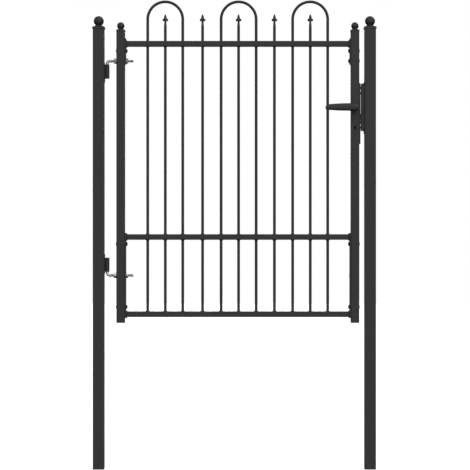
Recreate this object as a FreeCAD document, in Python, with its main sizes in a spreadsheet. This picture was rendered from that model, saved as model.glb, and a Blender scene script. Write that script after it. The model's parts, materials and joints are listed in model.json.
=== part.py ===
import FreeCAD, Part
import math
import os
import Sketcher

os.makedirs("parts", exist_ok=True)

# Garden gate: two square posts, a one-leaf gate of square tube with round bars, two barrel hinges and a lever lock.
# X runs right along the gate, Y away from the front, Z up. The origin is on the ground line, midway between the
# posts, and the whole gate is built about the plane Y = 0. Lengths are in millimetres.

V = FreeCAD.Vector
doc = FreeCAD.newDocument("garden_gate")

DRIVING_SIZES = {
    # posts
    "opening_width": 920, "post_size": 40, "post_wall": 2, "post_height": 1556.2,
    "post_cap_width": 44, "post_cap_lip": 7.5, "post_cap_roof": 4.8, "post_cap_top": 26,
    "post_ball_dia": 36, "post_ball_height": 1584.5,
    "side_nut_height": 1000, "side_nut_spacing": 33, "side_nut_bore": 5, "side_nut_body": 9, "side_nut_flange": 13,
    # leaf frame
    "hinge_gap": 43, "latch_gap": 18.5, "stile_size": 30, "stile_wall": 2, "stile_bottom": 519, "stile_top": 1547.5,
    "stile_cap_width": 32, "stile_cap_lip": 5.3, "stile_cap_roof": 3.7, "stile_cap_top": 20,
    "stile_ball_dia": 26.6, "stile_ball_height": 1567.6,
    "rail_size": 20, "rail_wall": 1.5, "top_rail_height": 1504, "middle_rail_height": 820.6,
    "bottom_rail_height": 547.5,
    "end_plate_thick": 4, "end_plate_width": 25,
    "upper_plate_low": 1431, "upper_plate_high": 1523, "lower_plate_low": 534, "lower_plate_high": 835,
    # bars
    "bar_dia": 10, "bar_hole_dia": 10.3, "hoop_width": 124, "hoop_spring_line": 1591,
    "left_hoop_place": -257, "middle_hoop_place": 2.8, "right_hoop_place": 256,
    "spear_bar_1_place": -256.6, "spear_bar_2_place": -124.8, "spear_bar_3_place": 2.6, "spear_bar_4_place": 129.5,
    "spear_bar_5_place": 256.4,
    "spear_neck_low": 1561.7, "spear_neck_high": 1584.2, "spear_neck_dia": 7.4, "spear_collar_height": 1588.5,
    "spear_collar_dia": 19.6, "spear_collar_thick": 9.6, "spear_cone_low": 1591.2, "spear_cone_dia": 10.8,
    "spear_tip": 1609.8,
    # bolts that hold the rails' end plates to the stiles
    "bolt_dia": 8, "bolt_hole": 9, "bolt_head_dia": 15.5, "bolt_head_thick": 2.3,
    "cap_nut_flange": 16.5, "cap_nut_flange_thick": 1.6, "cap_nut_hex": 13, "cap_nut_hex_thick": 3.4,
    "cap_nut_dome": 1.9,
    "top_bolt_height": 1479, "second_bolt_height": 1443.5, "middle_bolt_height": 796, "bottom_bolt_height": 573.5,
    "plug_hole_dia": 10.6, "plug_head_dia": 13.5,
    # hinges
    "pin_dia": 10, "barrel_bore": 10.1, "barrel_dia": 16, "barrel_length": 50, "hinge_axis_offset": 10,
    "hinge_plate_length": 66.5, "hinge_plate_shift": 2.9, "hinge_plate_width": 30, "hinge_plate_thick": 2,
    "hinge_web_thick": 8,
    "upper_barrel_middle": 1406, "lower_barrel_middle": 722.6,
    "upper_pin_height": 1443.2, "lower_pin_height": 685, "pin_bend": 10, "pin_hole": 10.6, "pin_end": -357.2,
    "hinge_nut_hex": 17, "hinge_nut_thick": 7.5, "thin_nut_thick": 5, "washer_dia": 20, "washer_thick": 2,
    # lock
    "spindle_height": 1277, "spindle_setback": 15, "spindle_size": 8, "spindle_length": 84, "spindle_hole": 14,
    "key_height": 1209, "keyhole_dia": 8, "keyhole_slot": 4.2, "keyhole_drop": 12.5,
    "faceplate_thick": 4, "faceplate_width": 24, "faceplate_low": 1150, "faceplate_high": 1364.5,
    "case_low": 1181, "case_high": 1302, "case_depth": 27.3, "case_width": 20, "case_wall": 1.5,
    "latch_low": 1236, "latch_high": 1256, "latch_reach": 11.5, "bolt_width": 12,
    "dead_low": 1221, "dead_high": 1234.5, "dead_proud": 1.6, "dead_notch_depth": 5,
    "follower_dia": 17, "follower_arm": 17, "rocker_height": 1251, "rocker_pin_dia": 4, "rocker_drop": 10.8,
    "rocker_low": 6.3, "rocker_high": 8.3,
    # lever
    "lever_reach": 107, "lever_stand": 39, "lever_neck_dia": 20,
    "knob_dia": 25, "knob_neck_dia": 18, "knob_stand": 22.1, "knob_depth": 24,
    # strike
    "strike_box_low": 1196, "strike_box_high": 1363, "strike_box_width": 26, "strike_depth": 10.3, "strike_wall": 2,
    "strike_plate_low": 1186, "strike_plate_high": 1369, "strike_plate_thick": 2, "strike_plate_width": 30,
    "strike_screw_low": 1208, "strike_screw_mid": 1329, "strike_screw_high": 1348.5,
}


class Size:
    """A driving size, or a formula of several: its number and the same formula as a spreadsheet expression."""

    def __init__(self, value, text):
        self.value = value
        self.text = text

    def __add__(self, other):
        other = size(other)
        return Size(self.value + other.value, f"({self.text} + {other.text})")

    def __radd__(self, other):
        return size(other) + self

    def __sub__(self, other):
        other = size(other)
        return Size(self.value - other.value, f"({self.text} - {other.text})")

    def __rsub__(self, other):
        return size(other) - self

    def __mul__(self, factor):
        factor = size(factor)
        return Size(self.value * factor.value, f"({self.text} * {factor.text})")

    def __truediv__(self, factor):
        factor = size(factor)
        return Size(self.value / factor.value, f"({self.text} / {factor.text})")

    def __neg__(self):
        return size(0) - self


def size(value):
    """Any number or Size as a Size."""
    if isinstance(value, Size):
        return value
    return Size(float(value), f"({float(value)})")


sheet = doc.addObject("Spreadsheet::Sheet", "Sizes")
for row, (alias, number) in enumerate(DRIVING_SIZES.items(), 1):
    sheet.set(f"A{row}", alias)
    sheet.set(f"B{row}", str(number))
    sheet.setAlias(f"B{row}", alias)
doc.recompute()
S = {alias: Size(float(number), f"Sizes.{alias}") for alias, number in DRIVING_SIZES.items()}

# Rotations that turn an object's own Z axis onto another axis of the gate.
ALONG = {
    "+Z": FreeCAD.Rotation(),
    "+X": FreeCAD.Rotation(V(0, 1, 0), 90),
    "-X": FreeCAD.Rotation(V(0, 1, 0), -90),
    "+Y": FreeCAD.Rotation(V(1, 0, 0), -90),
    "-Y": FreeCAD.Rotation(V(1, 0, 0), 90),
    "-Z": FreeCAD.Rotation(V(1, 0, 0), 180),
}

nodes = []


def bind(obj, **formulas):
    for name, formula in formulas.items():
        setattr(obj, name, size(formula).value)
        obj.setExpression(name, size(formula).text)


def place(obj, x, y, z, rotation=None):
    spot = [size(x), size(y), size(z)]
    obj.Placement = FreeCAD.Placement(V(*(p.value for p in spot)), rotation or FreeCAD.Rotation())
    for axis, p in zip("xyz", spot):
        obj.setExpression(f"Placement.Base.{axis}", p.text)
    return obj


def box(name, x, y, z, far_x, far_y, far_z):
    """A block given by two opposite corners."""
    obj = doc.addObject("Part::Box", name)
    bind(obj, Length=size(far_x) - x, Width=size(far_y) - y, Height=size(far_z) - z)
    return place(obj, x, y, z)


def rod(name, axis, x, y, z, radius, length):
    obj = doc.addObject("Part::Cylinder", name)
    bind(obj, Radius=radius, Height=length)
    return place(obj, x, y, z, ALONG[axis])


def cone(name, axis, x, y, z, near_radius, far_radius, length):
    obj = doc.addObject("Part::Cone", name)
    bind(obj, Radius1=near_radius, Radius2=far_radius, Height=length)
    return place(obj, x, y, z, ALONG[axis])


def ball(name, x, y, z, radius):
    obj = doc.addObject("Part::Sphere", name)
    bind(obj, Radius=radius)
    return place(obj, x, y, z)


def hexagon(name, axis, x, y, z, across_flats, length):
    obj = doc.addObject("Part::Prism", name)
    obj.Polygon = 6
    bind(obj, Circumradius=size(across_flats) / math.sqrt(3), Height=length)
    return place(obj, x, y, z, ALONG[axis])


def fuse(name, *shapes):
    obj = doc.addObject("Part::MultiFuse", name)
    obj.Shapes = list(shapes)
    obj.Refine = True
    return obj


def cut(name, base, *tools):
    obj = doc.addObject("Part::Cut", name)
    obj.Base = base
    obj.Tool = tools[0] if len(tools) == 1 else fuse(name + "_tools", *tools)
    return obj


def group(name, shapes):
    """Separate solids of one kind that share a node."""
    obj = doc.addObject("Part::Compound", name)
    obj.Links = list(shapes)
    return obj


def node(obj, name):
    """Names a finished sub-part."""
    obj.Label = name
    nodes.append((name, obj))
    return obj


def origin_plane(body, role):
    return next(f for f in body.Origin.OriginFeatures if f.Role == role)


def outline(body, name, role, corners):
    """A closed sketch on one of the body's origin planes. Two formulas hold each corner."""
    sketch = body.newObject("Sketcher::SketchObject", name)
    sketch.AttachmentSupport = [(origin_plane(body, role), "")]
    sketch.MapMode = "FlatFace"
    corners = [(size(a), size(b)) for a, b in corners]
    points = [V(a.value, b.value, 0) for a, b in corners]
    for start, end in zip(points, points[1:] + points[:1]):
        sketch.addGeometry(Part.LineSegment(start, end), False)
    count = len(points)
    for i in range(count):
        sketch.addConstraint(Sketcher.Constraint("Coincident", i, 2, (i + 1) % count, 1))
    for i, pair in enumerate(corners):
        for kind, coordinate, other_axis in zip(("DistanceX", "DistanceY"), pair, (-2, -1)):
            if abs(coordinate.value) < 1e-9:
                sketch.addConstraint(Sketcher.Constraint("PointOnObject", i, 1, other_axis))
                continue
            index = sketch.addConstraint(Sketcher.Constraint(kind, -1, 1, i, 1, coordinate.value))
            sketch.setExpression(f"Constraints[{index}]", coordinate.text)
    return sketch


def padded(name, role, corners, thickness):
    """A body padded from an outline, half its thickness to each side of the plane."""
    body = doc.addObject("PartDesign::Body", name)
    sketch = outline(body, name + "_outline", role, corners)
    pad = body.newObject("PartDesign::Pad", name + "_pad")
    pad.Profile = sketch
    bind(pad, Length=thickness)
    pad.Midplane = True
    sketch.Visibility = False
    return body


def pocket(body, name, role, corners, depth):
    """Cuts an outline through the body, half the depth to each side of the plane."""
    sketch = outline(body, name + "_outline", role, corners)
    doc.recompute()
    before = body.Shape.Volume
    feature = body.newObject("PartDesign::Pocket", name)
    feature.Profile = sketch
    bind(feature, Length=depth)
    feature.Midplane = True
    doc.recompute()
    if not body.Shape.Volume < before:
        raise RuntimeError(f"{name} cuts nothing")
    return body


# ---------------------------------------------------------------- shared positions

post_inner = S["opening_width"] / 2
post_outer = post_inner + S["post_size"]
half_post = S["post_size"] / 2
leaf_left = S["hinge_gap"] - post_inner
leaf_right = post_inner - S["latch_gap"]
leaf_middle = (leaf_left + leaf_right) / 2
half_stile = S["stile_size"] / 2
hinge_stile_inner = leaf_left + S["stile_size"]
latch_stile_inner = leaf_right - S["stile_size"]
rails_left = hinge_stile_inner + S["end_plate_thick"]
rails_right = latch_stile_inner - S["end_plate_thick"]
hinge_x = S["hinge_axis_offset"] - post_inner
spindle_x = leaf_right - S["spindle_setback"]
faceplate_x = leaf_right + S["faceplate_thick"]
half_bar = S["bar_dia"] / 2
bar_hole = S["bar_hole_dia"] / 2
HOOPS = ("left_hoop", "middle_hoop", "right_hoop")
SPEARS = tuple(f"spear_bar_{number}" for number in range(1, 6))


def bar_x(label):
    """The middle of a hoop or a spear bar."""
    return leaf_middle + S[label + "_place"]



def square_tube(name, x, far_x, half_width, z, far_z, wall):
    """An upright square tube, open at both ends."""
    outside = box(name + "_outside", x, -half_width, z, far_x, half_width, far_z)
    inside = box(name + "_inside", size(x) + wall, wall - half_width, size(z) - 1,
                 size(far_x) - wall, half_width - wall, size(far_z) + 1)
    return outside, inside


# ---------------------------------------------------------------- posts

def post(side, label, holes):
    """A post, its ball cap and its two threaded inserts. side is -1 on the left and 1 on the right."""
    near, far = (post_inner, post_outer) if side > 0 else (-post_outer, -post_inner)
    middle = (near + far) / 2
    outside, bore = square_tube(label, near, far, half_post, 0, S["post_height"], S["post_wall"])
    outer_face = post_outer * side
    inward = "-X" if side > 0 else "+X"
    outward = "+X" if side > 0 else "-X"
    holes = list(holes)
    inserts = []
    for i in (-1, 1):
        z = S["side_nut_height"] + S["side_nut_spacing"] * (i / 2)
        tag = f"{label}_insert_{'upper' if i > 0 else 'lower'}"
        holes.append(rod(tag + "_hole", inward, outer_face + side, 0, z, S["side_nut_body"] / 2, 5))
        flange = rod(tag + "_flange", outward, outer_face, 0, z, S["side_nut_flange"] / 2, 1.2)
        sleeve = rod(tag + "_sleeve", inward, outer_face, 0, z, S["side_nut_body"] / 2 - 0.05, 13)
        bulge = rod(tag + "_bulge", inward, outer_face - size(side) * (S["post_wall"] + 0.1), 0, z,
                    S["side_nut_body"] / 2 + 1.6, 2.6)
        thread = rod(tag + "_thread", inward, outer_face + side * 2, 0, z, S["side_nut_bore"] / 2, 20)
        inserts.append(cut(tag, fuse(tag + "_body", flange, sleeve, bulge), thread))
    node(cut(label + "_tube", outside, bore, *holes), label)
    node(group(label + "_insert_group", inserts), label + "_threaded_inserts")
    cap(label + "_cap", middle, "post")


def cap(label, middle, kind):
    """A square cap with a plug that sits in the tube, a lip, a sloped roof, a short neck and a ball."""
    tube = S[f"{kind}_size"]
    wall = S[f"{kind}_wall"]
    z = S["post_height"] if kind == "post" else S["stile_top"]
    half_plug = tube / 2 - wall - 0.1
    half_lip = S[f"{kind}_cap_width"] / 2
    half_top = S[f"{kind}_cap_top"] / 2
    roof_low = z + S[f"{kind}_cap_lip"]
    plug = box(label + "_plug", middle - half_plug, -half_plug, z - 14, middle + half_plug, half_plug, z)
    lip = box(label + "_lip", middle - half_lip, -half_lip, z, middle + half_lip, half_lip, roof_low)
    roof = doc.addObject("Part::Wedge", label + "_roof")
    bind(roof, Xmin=-half_lip, Xmax=half_lip, Zmin=-half_lip, Zmax=half_lip, Ymin=0, Ymax=S[f"{kind}_cap_roof"],
         X2min=-half_top, X2max=half_top, Z2min=-half_top, Z2max=half_top)
    place(roof, middle, 0, roof_low, FreeCAD.Rotation(V(1, 0, 0), 90))
    ball_z = S[f"{kind}_ball_height"]
    neck_low = roof_low + S[f"{kind}_cap_roof"] - 1
    neck = rod(label + "_neck", "+Z", middle, 0, neck_low, half_top * 0.9, ball_z - neck_low)
    sphere = ball(label + "_ball", middle, 0, ball_z, S[f"{kind}_ball_dia"] / 2)
    node(fuse(label + "_shape", plug, lip, roof, neck, sphere), label)


strike_screw_heights = [S["strike_screw_low"], S["strike_screw_mid"], S["strike_screw_high"]]
post(-1, "hinge_post", [])
post(1, "latch_post", [rod(f"strike_pilot_hole_{i}", "+X", post_inner - 1, 0, z, 2.3, 5)
                       for i, z in enumerate(strike_screw_heights)])


# ---------------------------------------------------------------- leaf frame

def through_holes(name, x, heights, radius, length):
    return [rod(f"{name}_{i}", "+X", x, 0, z, radius, length) for i, z in enumerate(heights)]


hinge_bolt_heights = [S["top_bolt_height"], S["middle_bolt_height"], S["bottom_bolt_height"]]
latch_bolt_heights = [S["top_bolt_height"], S["second_bolt_height"], S["middle_bolt_height"],
                      S["bottom_bolt_height"]]
pin_heights = [S["upper_pin_height"], S["lower_pin_height"]]
bolt_hole = S["bolt_hole"] / 2
pin_hole = S["pin_hole"] / 2


def hinge_stile():
    outside, bore = square_tube("hinge_stile", leaf_left, hinge_stile_inner, half_stile,
                                S["stile_bottom"], S["stile_top"], S["stile_wall"])
    holes = through_holes("hinge_stile_bolt_hole", leaf_left - 1, hinge_bolt_heights, bolt_hole, 32)
    holes += through_holes("hinge_stile_pin_hole", leaf_left - 1, pin_heights, pin_hole, 32)
    node(cut("hinge_stile_tube", outside, bore, *holes), "hinge_stile")
    cap("hinge_stile_cap", (leaf_left + hinge_stile_inner) / 2, "stile")


def keyhole(name, x, y, far_y, z):
    """A round hole with a slot below it, along Y."""
    eye = rod(name + "_eye", "+Y", x, y, z, S["keyhole_dia"] / 2, size(far_y) - y)
    half_slot = S["keyhole_slot"] / 2
    slot = box(name + "_slot", x - half_slot, y, z - S["keyhole_drop"], x + half_slot, far_y, z)
    return [eye, slot]


def latch_stile():
    outside, bore = square_tube("latch_stile", latch_stile_inner, leaf_right, half_stile,
                                S["stile_bottom"], S["stile_top"], S["stile_wall"])
    holes = through_holes("latch_stile_bolt_hole", latch_stile_inner - 1, latch_bolt_heights, bolt_hole, 32)
    plug = rod("latch_stile_plug_hole", "+X", latch_stile_inner - 1, 0, S["lower_pin_height"],
               S["plug_hole_dia"] / 2, 5)
    half_slot = S["case_width"] / 2 + 0.3
    case_slot = box("latch_stile_case_slot", leaf_right - 5, -half_slot, S["case_low"] - 0.5,
                    leaf_right + 1, half_slot, S["case_high"] + 0.5)
    spindle = rod("latch_stile_spindle_hole", "+Y", spindle_x, -20, S["spindle_height"], S["spindle_hole"] / 2, 40)
    key = keyhole("latch_stile_keyhole", spindle_x, -20, 20, S["key_height"])
    screws = [rod(f"latch_stile_screw_hole_{i}", "-X", leaf_right + 1, 0, z, 1.7, 5)
              for i, z in enumerate((S["faceplate_low"] + 8, S["faceplate_high"] - 8))]
    node(cut("latch_stile_tube", outside, bore, *holes, plug, case_slot, spindle, *key, *screws), "latch_stile")
    cap("latch_stile_cap", (latch_stile_inner + leaf_right) / 2, "stile")


hinge_stile()
latch_stile()


def stile_bottom_plug(name, left):
    """A plastic plug: a flange under the tube's end and a block inside it."""
    half = S["stile_size"] / 2
    middle = left + half
    inner = half - S["stile_wall"] - 0.1
    z = S["stile_bottom"]
    flange = box(name + "_flange", middle - half, -half, z - 2, middle + half, half, z)
    block = box(name + "_block", middle - inner, -inner, z, middle + inner, inner, z + 11)
    return fuse(name, flange, block)


node(group("stile_plug_group", [stile_bottom_plug("hinge_stile_plug", leaf_left),
                                stile_bottom_plug("latch_stile_plug", latch_stile_inner)]), "stile_bottom_plugs")


def rail(label, z, pierced):
    """A square tube between the end plates. The upper two are pierced for every bar."""
    half = S["rail_size"] / 2
    inner = half - S["rail_wall"]
    outside = box(label + "_outside", rails_left, -half, z - half, rails_right, half, z + half)
    tools = [box(label + "_inside", rails_left - 1, -inner, z - inner, rails_right + 1, inner, z + inner)]
    if pierced:
        for name in HOOPS:
            for side in (-1, 1):
                x = bar_x(name) + S["hoop_width"] / 2 * side
                tools.append(rod(f"{label}_{name}_hole", "+Z", x, 0, z - half - 1, bar_hole, S["rail_size"] + 2))
        for name in SPEARS:
            tools.append(rod(f"{label}_{name}_hole", "+Z", bar_x(name), 0, z - half - 1, bar_hole, S["rail_size"] + 2))
    node(cut(label + "_tube", outside, *tools), label)


rail("top_rail", S["top_rail_height"], True)
rail("middle_rail", S["middle_rail_height"], True)
rail("bottom_rail", S["bottom_rail_height"], False)


def end_plate(label, x, far_x, low, high, bolt_heights, wide_heights):
    """The flat strip that is welded to the rails' ends and bolted to the stile."""
    half = S["end_plate_width"] / 2
    plate = box(label + "_strip", x, -half, low, far_x, half, high)
    holes = through_holes(label + "_bolt_hole", x - 1, bolt_heights, bolt_hole, 6)
    holes += through_holes(label + "_wide_hole", x - 1, wide_heights, pin_hole, 6)
    node(cut(label + "_plate", plate, *holes), label)


upper = (S["upper_plate_low"], S["upper_plate_high"])
lower = (S["lower_plate_low"], S["lower_plate_high"])
end_plate("upper_hinge_end_plate", hinge_stile_inner, rails_left, *upper, hinge_bolt_heights[:1], pin_heights[:1])
end_plate("lower_hinge_end_plate", hinge_stile_inner, rails_left, *lower, hinge_bolt_heights[1:], pin_heights[1:])
end_plate("upper_latch_end_plate", rails_right, latch_stile_inner, *upper, latch_bolt_heights[:2], [])
end_plate("lower_latch_end_plate", rails_right, latch_stile_inner, *lower, latch_bolt_heights[2:], pin_heights[1:])


# ---------------------------------------------------------------- bars

bar_foot = S["bottom_rail_height"] + S["rail_size"] / 2


def hoop(label):
    """One round bar bent into an upside-down U."""
    x = bar_x(label)
    reach = S["hoop_width"] / 2
    legs = [rod(f"{label}_leg_{i}", "+Z", x + reach * i, 0, bar_foot, half_bar, S["hoop_spring_line"] - bar_foot)
            for i in (-1, 1)]
    bend = doc.addObject("Part::Torus", label + "_bend")
    bind(bend, Radius1=reach, Radius2=half_bar)
    bend.Angle3 = 180
    place(bend, x, 0, S["hoop_spring_line"], FreeCAD.Rotation(V(1, 0, 0), 90))
    node(fuse(label + "_bar", *legs, bend), label)


def spear(label):
    """A round bar drawn down to a neck, then a round collar and a full, rounded point."""
    x = bar_x(label)
    neck = S["spear_neck_dia"] / 2
    shaft = rod(label + "_shaft", "+Z", x, 0, bar_foot, half_bar, S["spear_neck_low"] - bar_foot)
    taper = cone(label + "_taper", "+Z", x, 0, S["spear_neck_low"], half_bar, neck,
                 S["spear_neck_high"] - S["spear_neck_low"])
    core = rod(label + "_core", "+Z", x, 0, S["spear_neck_high"], neck, S["spear_cone_low"] - S["spear_neck_high"])
    collar = doc.addObject("Part::Ellipsoid", label + "_collar")
    bind(collar, Radius1=S["spear_collar_thick"] / 2, Radius2=S["spear_collar_dia"] / 2,
         Radius3=S["spear_collar_dia"] / 2)
    place(collar, x, 0, S["spear_collar_height"])
    # The point in three steps, each steeper than the last: height below the tip, radius as a share of the base.
    levels = [(S["spear_cone_low"], S["spear_cone_dia"] / 2), (S["spear_tip"] - 8.6, S["spear_cone_dia"] * 0.39),
              (S["spear_tip"] - 3.3, S["spear_cone_dia"] * 0.23), (S["spear_tip"], S["spear_cone_dia"] * 0.05)]
    points = [cone(f"{label}_point_{i}", "+Z", x, 0, z_low, wide, narrow, z_high - z_low)
              for i, ((z_low, wide), (z_high, narrow)) in enumerate(zip(levels, levels[1:]), 1)]
    node(fuse(label + "_bar", shaft, taper, core, collar, *points), label)


for hoop_label in HOOPS:
    hoop(hoop_label)
for spear_label in SPEARS:
    spear(spear_label)


# ---------------------------------------------------------------- bolts, cap nuts and the hole plug

def frame_bolt(name, side, z):
    """A low round-headed bolt through a stile and an end plate. side is -1 on the hinge stile, 1 on the latch stile."""
    outer = leaf_left if side < 0 else leaf_right
    inward = "+X" if side < 0 else "-X"
    outward = "-X" if side < 0 else "+X"
    head = cone(name + "_head", outward, outer, 0, z, S["bolt_head_dia"] / 2, S["bolt_head_dia"] / 2 - 3,
                S["bolt_head_thick"])
    shank = rod(name + "_shank", inward, outer, 0, z, S["bolt_dia"] / 2, S["stile_size"] + S["end_plate_thick"] + 3.9)
    return fuse(name, head, shank)


def cap_nut(name, side, z):
    """A flanged hexagon nut with a low dome, on the plate's inner face."""
    face = rails_left if side < 0 else rails_right
    inward = "+X" if side < 0 else "-X"
    turn = 1 if side < 0 else -1
    flange = rod(name + "_flange", inward, face, 0, z, S["cap_nut_flange"] / 2, S["cap_nut_flange_thick"])
    body = hexagon(name + "_hex", inward, face, 0, z, S["cap_nut_hex"], S["cap_nut_hex_thick"])
    base = face + S["cap_nut_hex_thick"] * turn
    lower_dome = cone(name + "_dome", inward, base, 0, z, S["cap_nut_hex"] / 2 - 0.2, S["cap_nut_hex"] / 2 - 1.9,
                      S["cap_nut_dome"] * 0.6)
    upper_dome = cone(name + "_crown", inward, base + S["cap_nut_dome"] * (0.6 * turn), 0, z,
                      S["cap_nut_hex"] / 2 - 1.9, 1.6, S["cap_nut_dome"] * 0.4)
    bore = rod(name + "_bore", inward, face - turn, 0, z, S["bolt_dia"] / 2 + 0.05, 5.2)
    return cut(name, fuse(name + "_body", flange, body, lower_dome, upper_dome), bore)


bolt_places = [("hinge", -1, i, z) for i, z in enumerate(hinge_bolt_heights, 1)]
bolt_places += [("latch", 1, i, z) for i, z in enumerate(latch_bolt_heights, 1)]
node(group("frame_bolt_group", [frame_bolt(f"{s}_bolt_{i}", side, z) for s, side, i, z in bolt_places]),
     "frame_bolts")
node(group("cap_nut_group", [cap_nut(f"{s}_cap_nut_{i}", side, z) for s, side, i, z in bolt_places]), "cap_nuts")

plug_head = rod("hole_plug_head", "-X", rails_right, 0, S["lower_pin_height"], S["plug_head_dia"] / 2, 1.2)
plug_stem = rod("hole_plug_stem", "+X", rails_right, 0, S["lower_pin_height"], S["plug_hole_dia"] / 2 - 0.1, 8)
node(fuse("hole_plug_shape", plug_head, plug_stem), "hole_plug")


# ---------------------------------------------------------------- hinges

def hinge_on_post(label, middle, upright):
    """A plate with a web, welded to the post, and the barrel that the web carries.

    upright is -1 where the pin comes down from above; the plate stands a little further out on the other side.
    """
    face = -post_inner
    half_plate = S["hinge_plate_length"] / 2
    half_barrel = S["barrel_length"] / 2
    plate_x = face + S["hinge_plate_thick"]
    half_width = S["hinge_plate_width"] / 2
    plate_middle = middle + S["hinge_plate_shift"] * upright
    plate = box(label + "_base", face, -half_width, plate_middle - half_plate, plate_x, half_width,
                plate_middle + half_plate)
    web_x = hinge_x - S["pin_dia"] / 2 - 0.8
    half_web = S["hinge_web_thick"] / 2
    web = box(label + "_web", plate_x - 0.5, -half_web, middle - half_barrel + 1, web_x, half_web,
              middle + half_barrel - 1)
    seat = rod(label + "_seat", "+Z", hinge_x, 0, middle - half_barrel, S["barrel_dia"] / 2, S["barrel_length"])
    node(cut(label + "_plate_shape", fuse(label + "_weldment", plate, web), seat), label + "_plate")
    tube = rod(label + "_tube", "+Z", hinge_x, 0, middle - half_barrel, S["barrel_dia"] / 2, S["barrel_length"])
    bore = rod(label + "_bore", "+Z", hinge_x, 0, middle - half_barrel - 1, S["barrel_bore"] / 2,
               S["barrel_length"] + 2)
    node(cut(label + "_barrel_shape", tube, bore), label + "_barrel")


def hinge_bolt(label, pin_height, upright):
    """A rod bent to a right angle: the pin in the barrel and the threaded leg through the stile.

    upright is 1 where the pin points up and -1 where it points down.
    """
    radius = S["pin_dia"] / 2
    bend_x = hinge_x + S["pin_bend"]
    pin_start = pin_height + S["pin_bend"] * upright
    pin_length = 49
    leg = rod(label + "_leg", "+X", bend_x, 0, pin_height, radius, S["pin_end"] - bend_x)
    pin_low = pin_start if upright > 0 else pin_start - pin_length
    pin = rod(label + "_pin", "+Z", hinge_x, 0, pin_low, radius, pin_length)
    elbow = doc.addObject("Part::Torus", label + "_elbow")
    bind(elbow, Radius1=S["pin_bend"], Radius2=radius)
    elbow.Angle3 = 90
    # The quarter ring lies in the XZ plane, between the leg's start and the pin's start.
    quarter = FreeCAD.Rotation(V(1, 0, 0), 90).multiply(FreeCAD.Rotation(V(0, 0, 1), 180 if upright > 0 else 90))
    place(elbow, bend_x, 0, pin_start, quarter)
    node(fuse(label + "_rod", leg, pin, elbow), label)


hinge_on_post("upper_hinge", S["upper_barrel_middle"], -1)
hinge_on_post("lower_hinge", S["lower_barrel_middle"], 1)
hinge_bolt("upper_hinge_bolt", S["upper_pin_height"], -1)
hinge_bolt("lower_hinge_bolt", S["lower_pin_height"], 1)

pin_thread = S["pin_dia"] / 2 + 0.05


def washer(name, x, z):
    disc = rod(name + "_disc", "+X", x, 0, z, S["washer_dia"] / 2, S["washer_thick"])
    return cut(name, disc, rod(name + "_bore", "+X", size(x) - 1, 0, z, S["pin_dia"] / 2 + 0.25, 5))


def hinge_nut(name, x, z, thick):
    body = hexagon(name + "_hex", "+X", x, 0, z, S["hinge_nut_hex"], thick)
    crown = cone(name + "_crown", "+X", size(x) - 0.01, 0, z, S["hinge_nut_hex"] / 2 + 0.2 + size(thick) * 1.7,
                 S["hinge_nut_hex"] / 2 + 0.2, size(thick) + 0.02)
    rounded = doc.addObject("Part::MultiCommon", name + "_rounded")
    rounded.Shapes = [body, crown]
    return cut(name, rounded, rod(name + "_bore", "+X", size(x) - 1, 0, z, pin_thread, 12))


washers = []
full_nuts = []
thin_nuts = []
for level, pin_z in zip(("upper", "lower"), pin_heights):
    washers.append(washer(f"{level}_outer_washer", leaf_left - S["washer_thick"], pin_z))
    washers.append(washer(f"{level}_inner_washer", rails_left, pin_z))
    full_nuts.append(hinge_nut(f"{level}_full_nut", leaf_left - S["washer_thick"] - S["hinge_nut_thick"], pin_z,
                               S["hinge_nut_thick"]))
    thin_nuts.append(hinge_nut(f"{level}_thin_nut", rails_left + S["washer_thick"], pin_z, S["thin_nut_thick"]))
node(group("hinge_washer_group", washers), "hinge_washers")
node(group("hinge_nut_group", full_nuts), "hinge_nuts")
node(group("hinge_thin_nut_group", thin_nuts), "hinge_thin_nuts")


# ---------------------------------------------------------------- lock case and faceplate

case_back = leaf_right - S["case_depth"]
case_inner_back = case_back + S["case_wall"]
half_case = S["case_width"] / 2
case_room = half_case - S["case_wall"]
half_bolt = S["bolt_width"] / 2


def faceplate():
    half = S["faceplate_width"] / 2
    body = padded("faceplate_body", "XZ_Plane",
                  [(leaf_right, S["faceplate_low"]), (faceplate_x, S["faceplate_low"]),
                   (faceplate_x, S["faceplate_high"]), (leaf_right, S["faceplate_high"])], half * 2)
    for name, low, high in (("latch_window", S["latch_low"], S["latch_high"]),
                            ("dead_window", S["dead_low"], S["dead_high"])):
        pocket(body, name, "XZ_Plane",
               [(leaf_right - 1, low - 0.3), (faceplate_x + 1, low - 0.3),
                (faceplate_x + 1, high + 0.3), (leaf_right - 1, high + 0.3)], S["bolt_width"] + 0.6)
    sinks = []
    screws = []
    for i, z in enumerate((S["faceplate_low"] + 8, S["faceplate_high"] - 8)):
        sinks.append(rod(f"faceplate_hole_{i}", "-X", faceplate_x + 1, 0, z, 2.1, 6))
        sinks.append(cone(f"faceplate_sink_{i}", "-X", faceplate_x + 0.01, 0, z, 4.11, 2.0, 2.11))
        head = cone(f"faceplate_screw_head_{i}", "-X", faceplate_x - 0.1, 0, z, 3.9, 1.9, 2)
        shank = rod(f"faceplate_screw_shank_{i}", "-X", faceplate_x - 0.1, 0, z, 1.6, 11)
        driver = hexagon(f"faceplate_screw_drive_{i}", "-X", faceplate_x + 1, 0, z, 2.5, 2.6)
        screws.append(cut(f"faceplate_screw_{i}", fuse(f"faceplate_screw_body_{i}", head, shank), driver))
    node(cut("faceplate_shape", body, *sinks), "lock_faceplate")
    node(group("faceplate_screw_group", screws), "faceplate_screws")


def side_holes(name, y, far_y):
    """The follower's bearing hole and the keyhole in one side of the lock case."""
    bearing = rod(name + "_bearing", "+Y", spindle_x, y, S["spindle_height"], S["follower_dia"] / 2 + 0.06,
                  size(far_y) - y)
    return [bearing] + keyhole(name + "_keyhole", spindle_x, y, far_y, S["key_height"])


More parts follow.
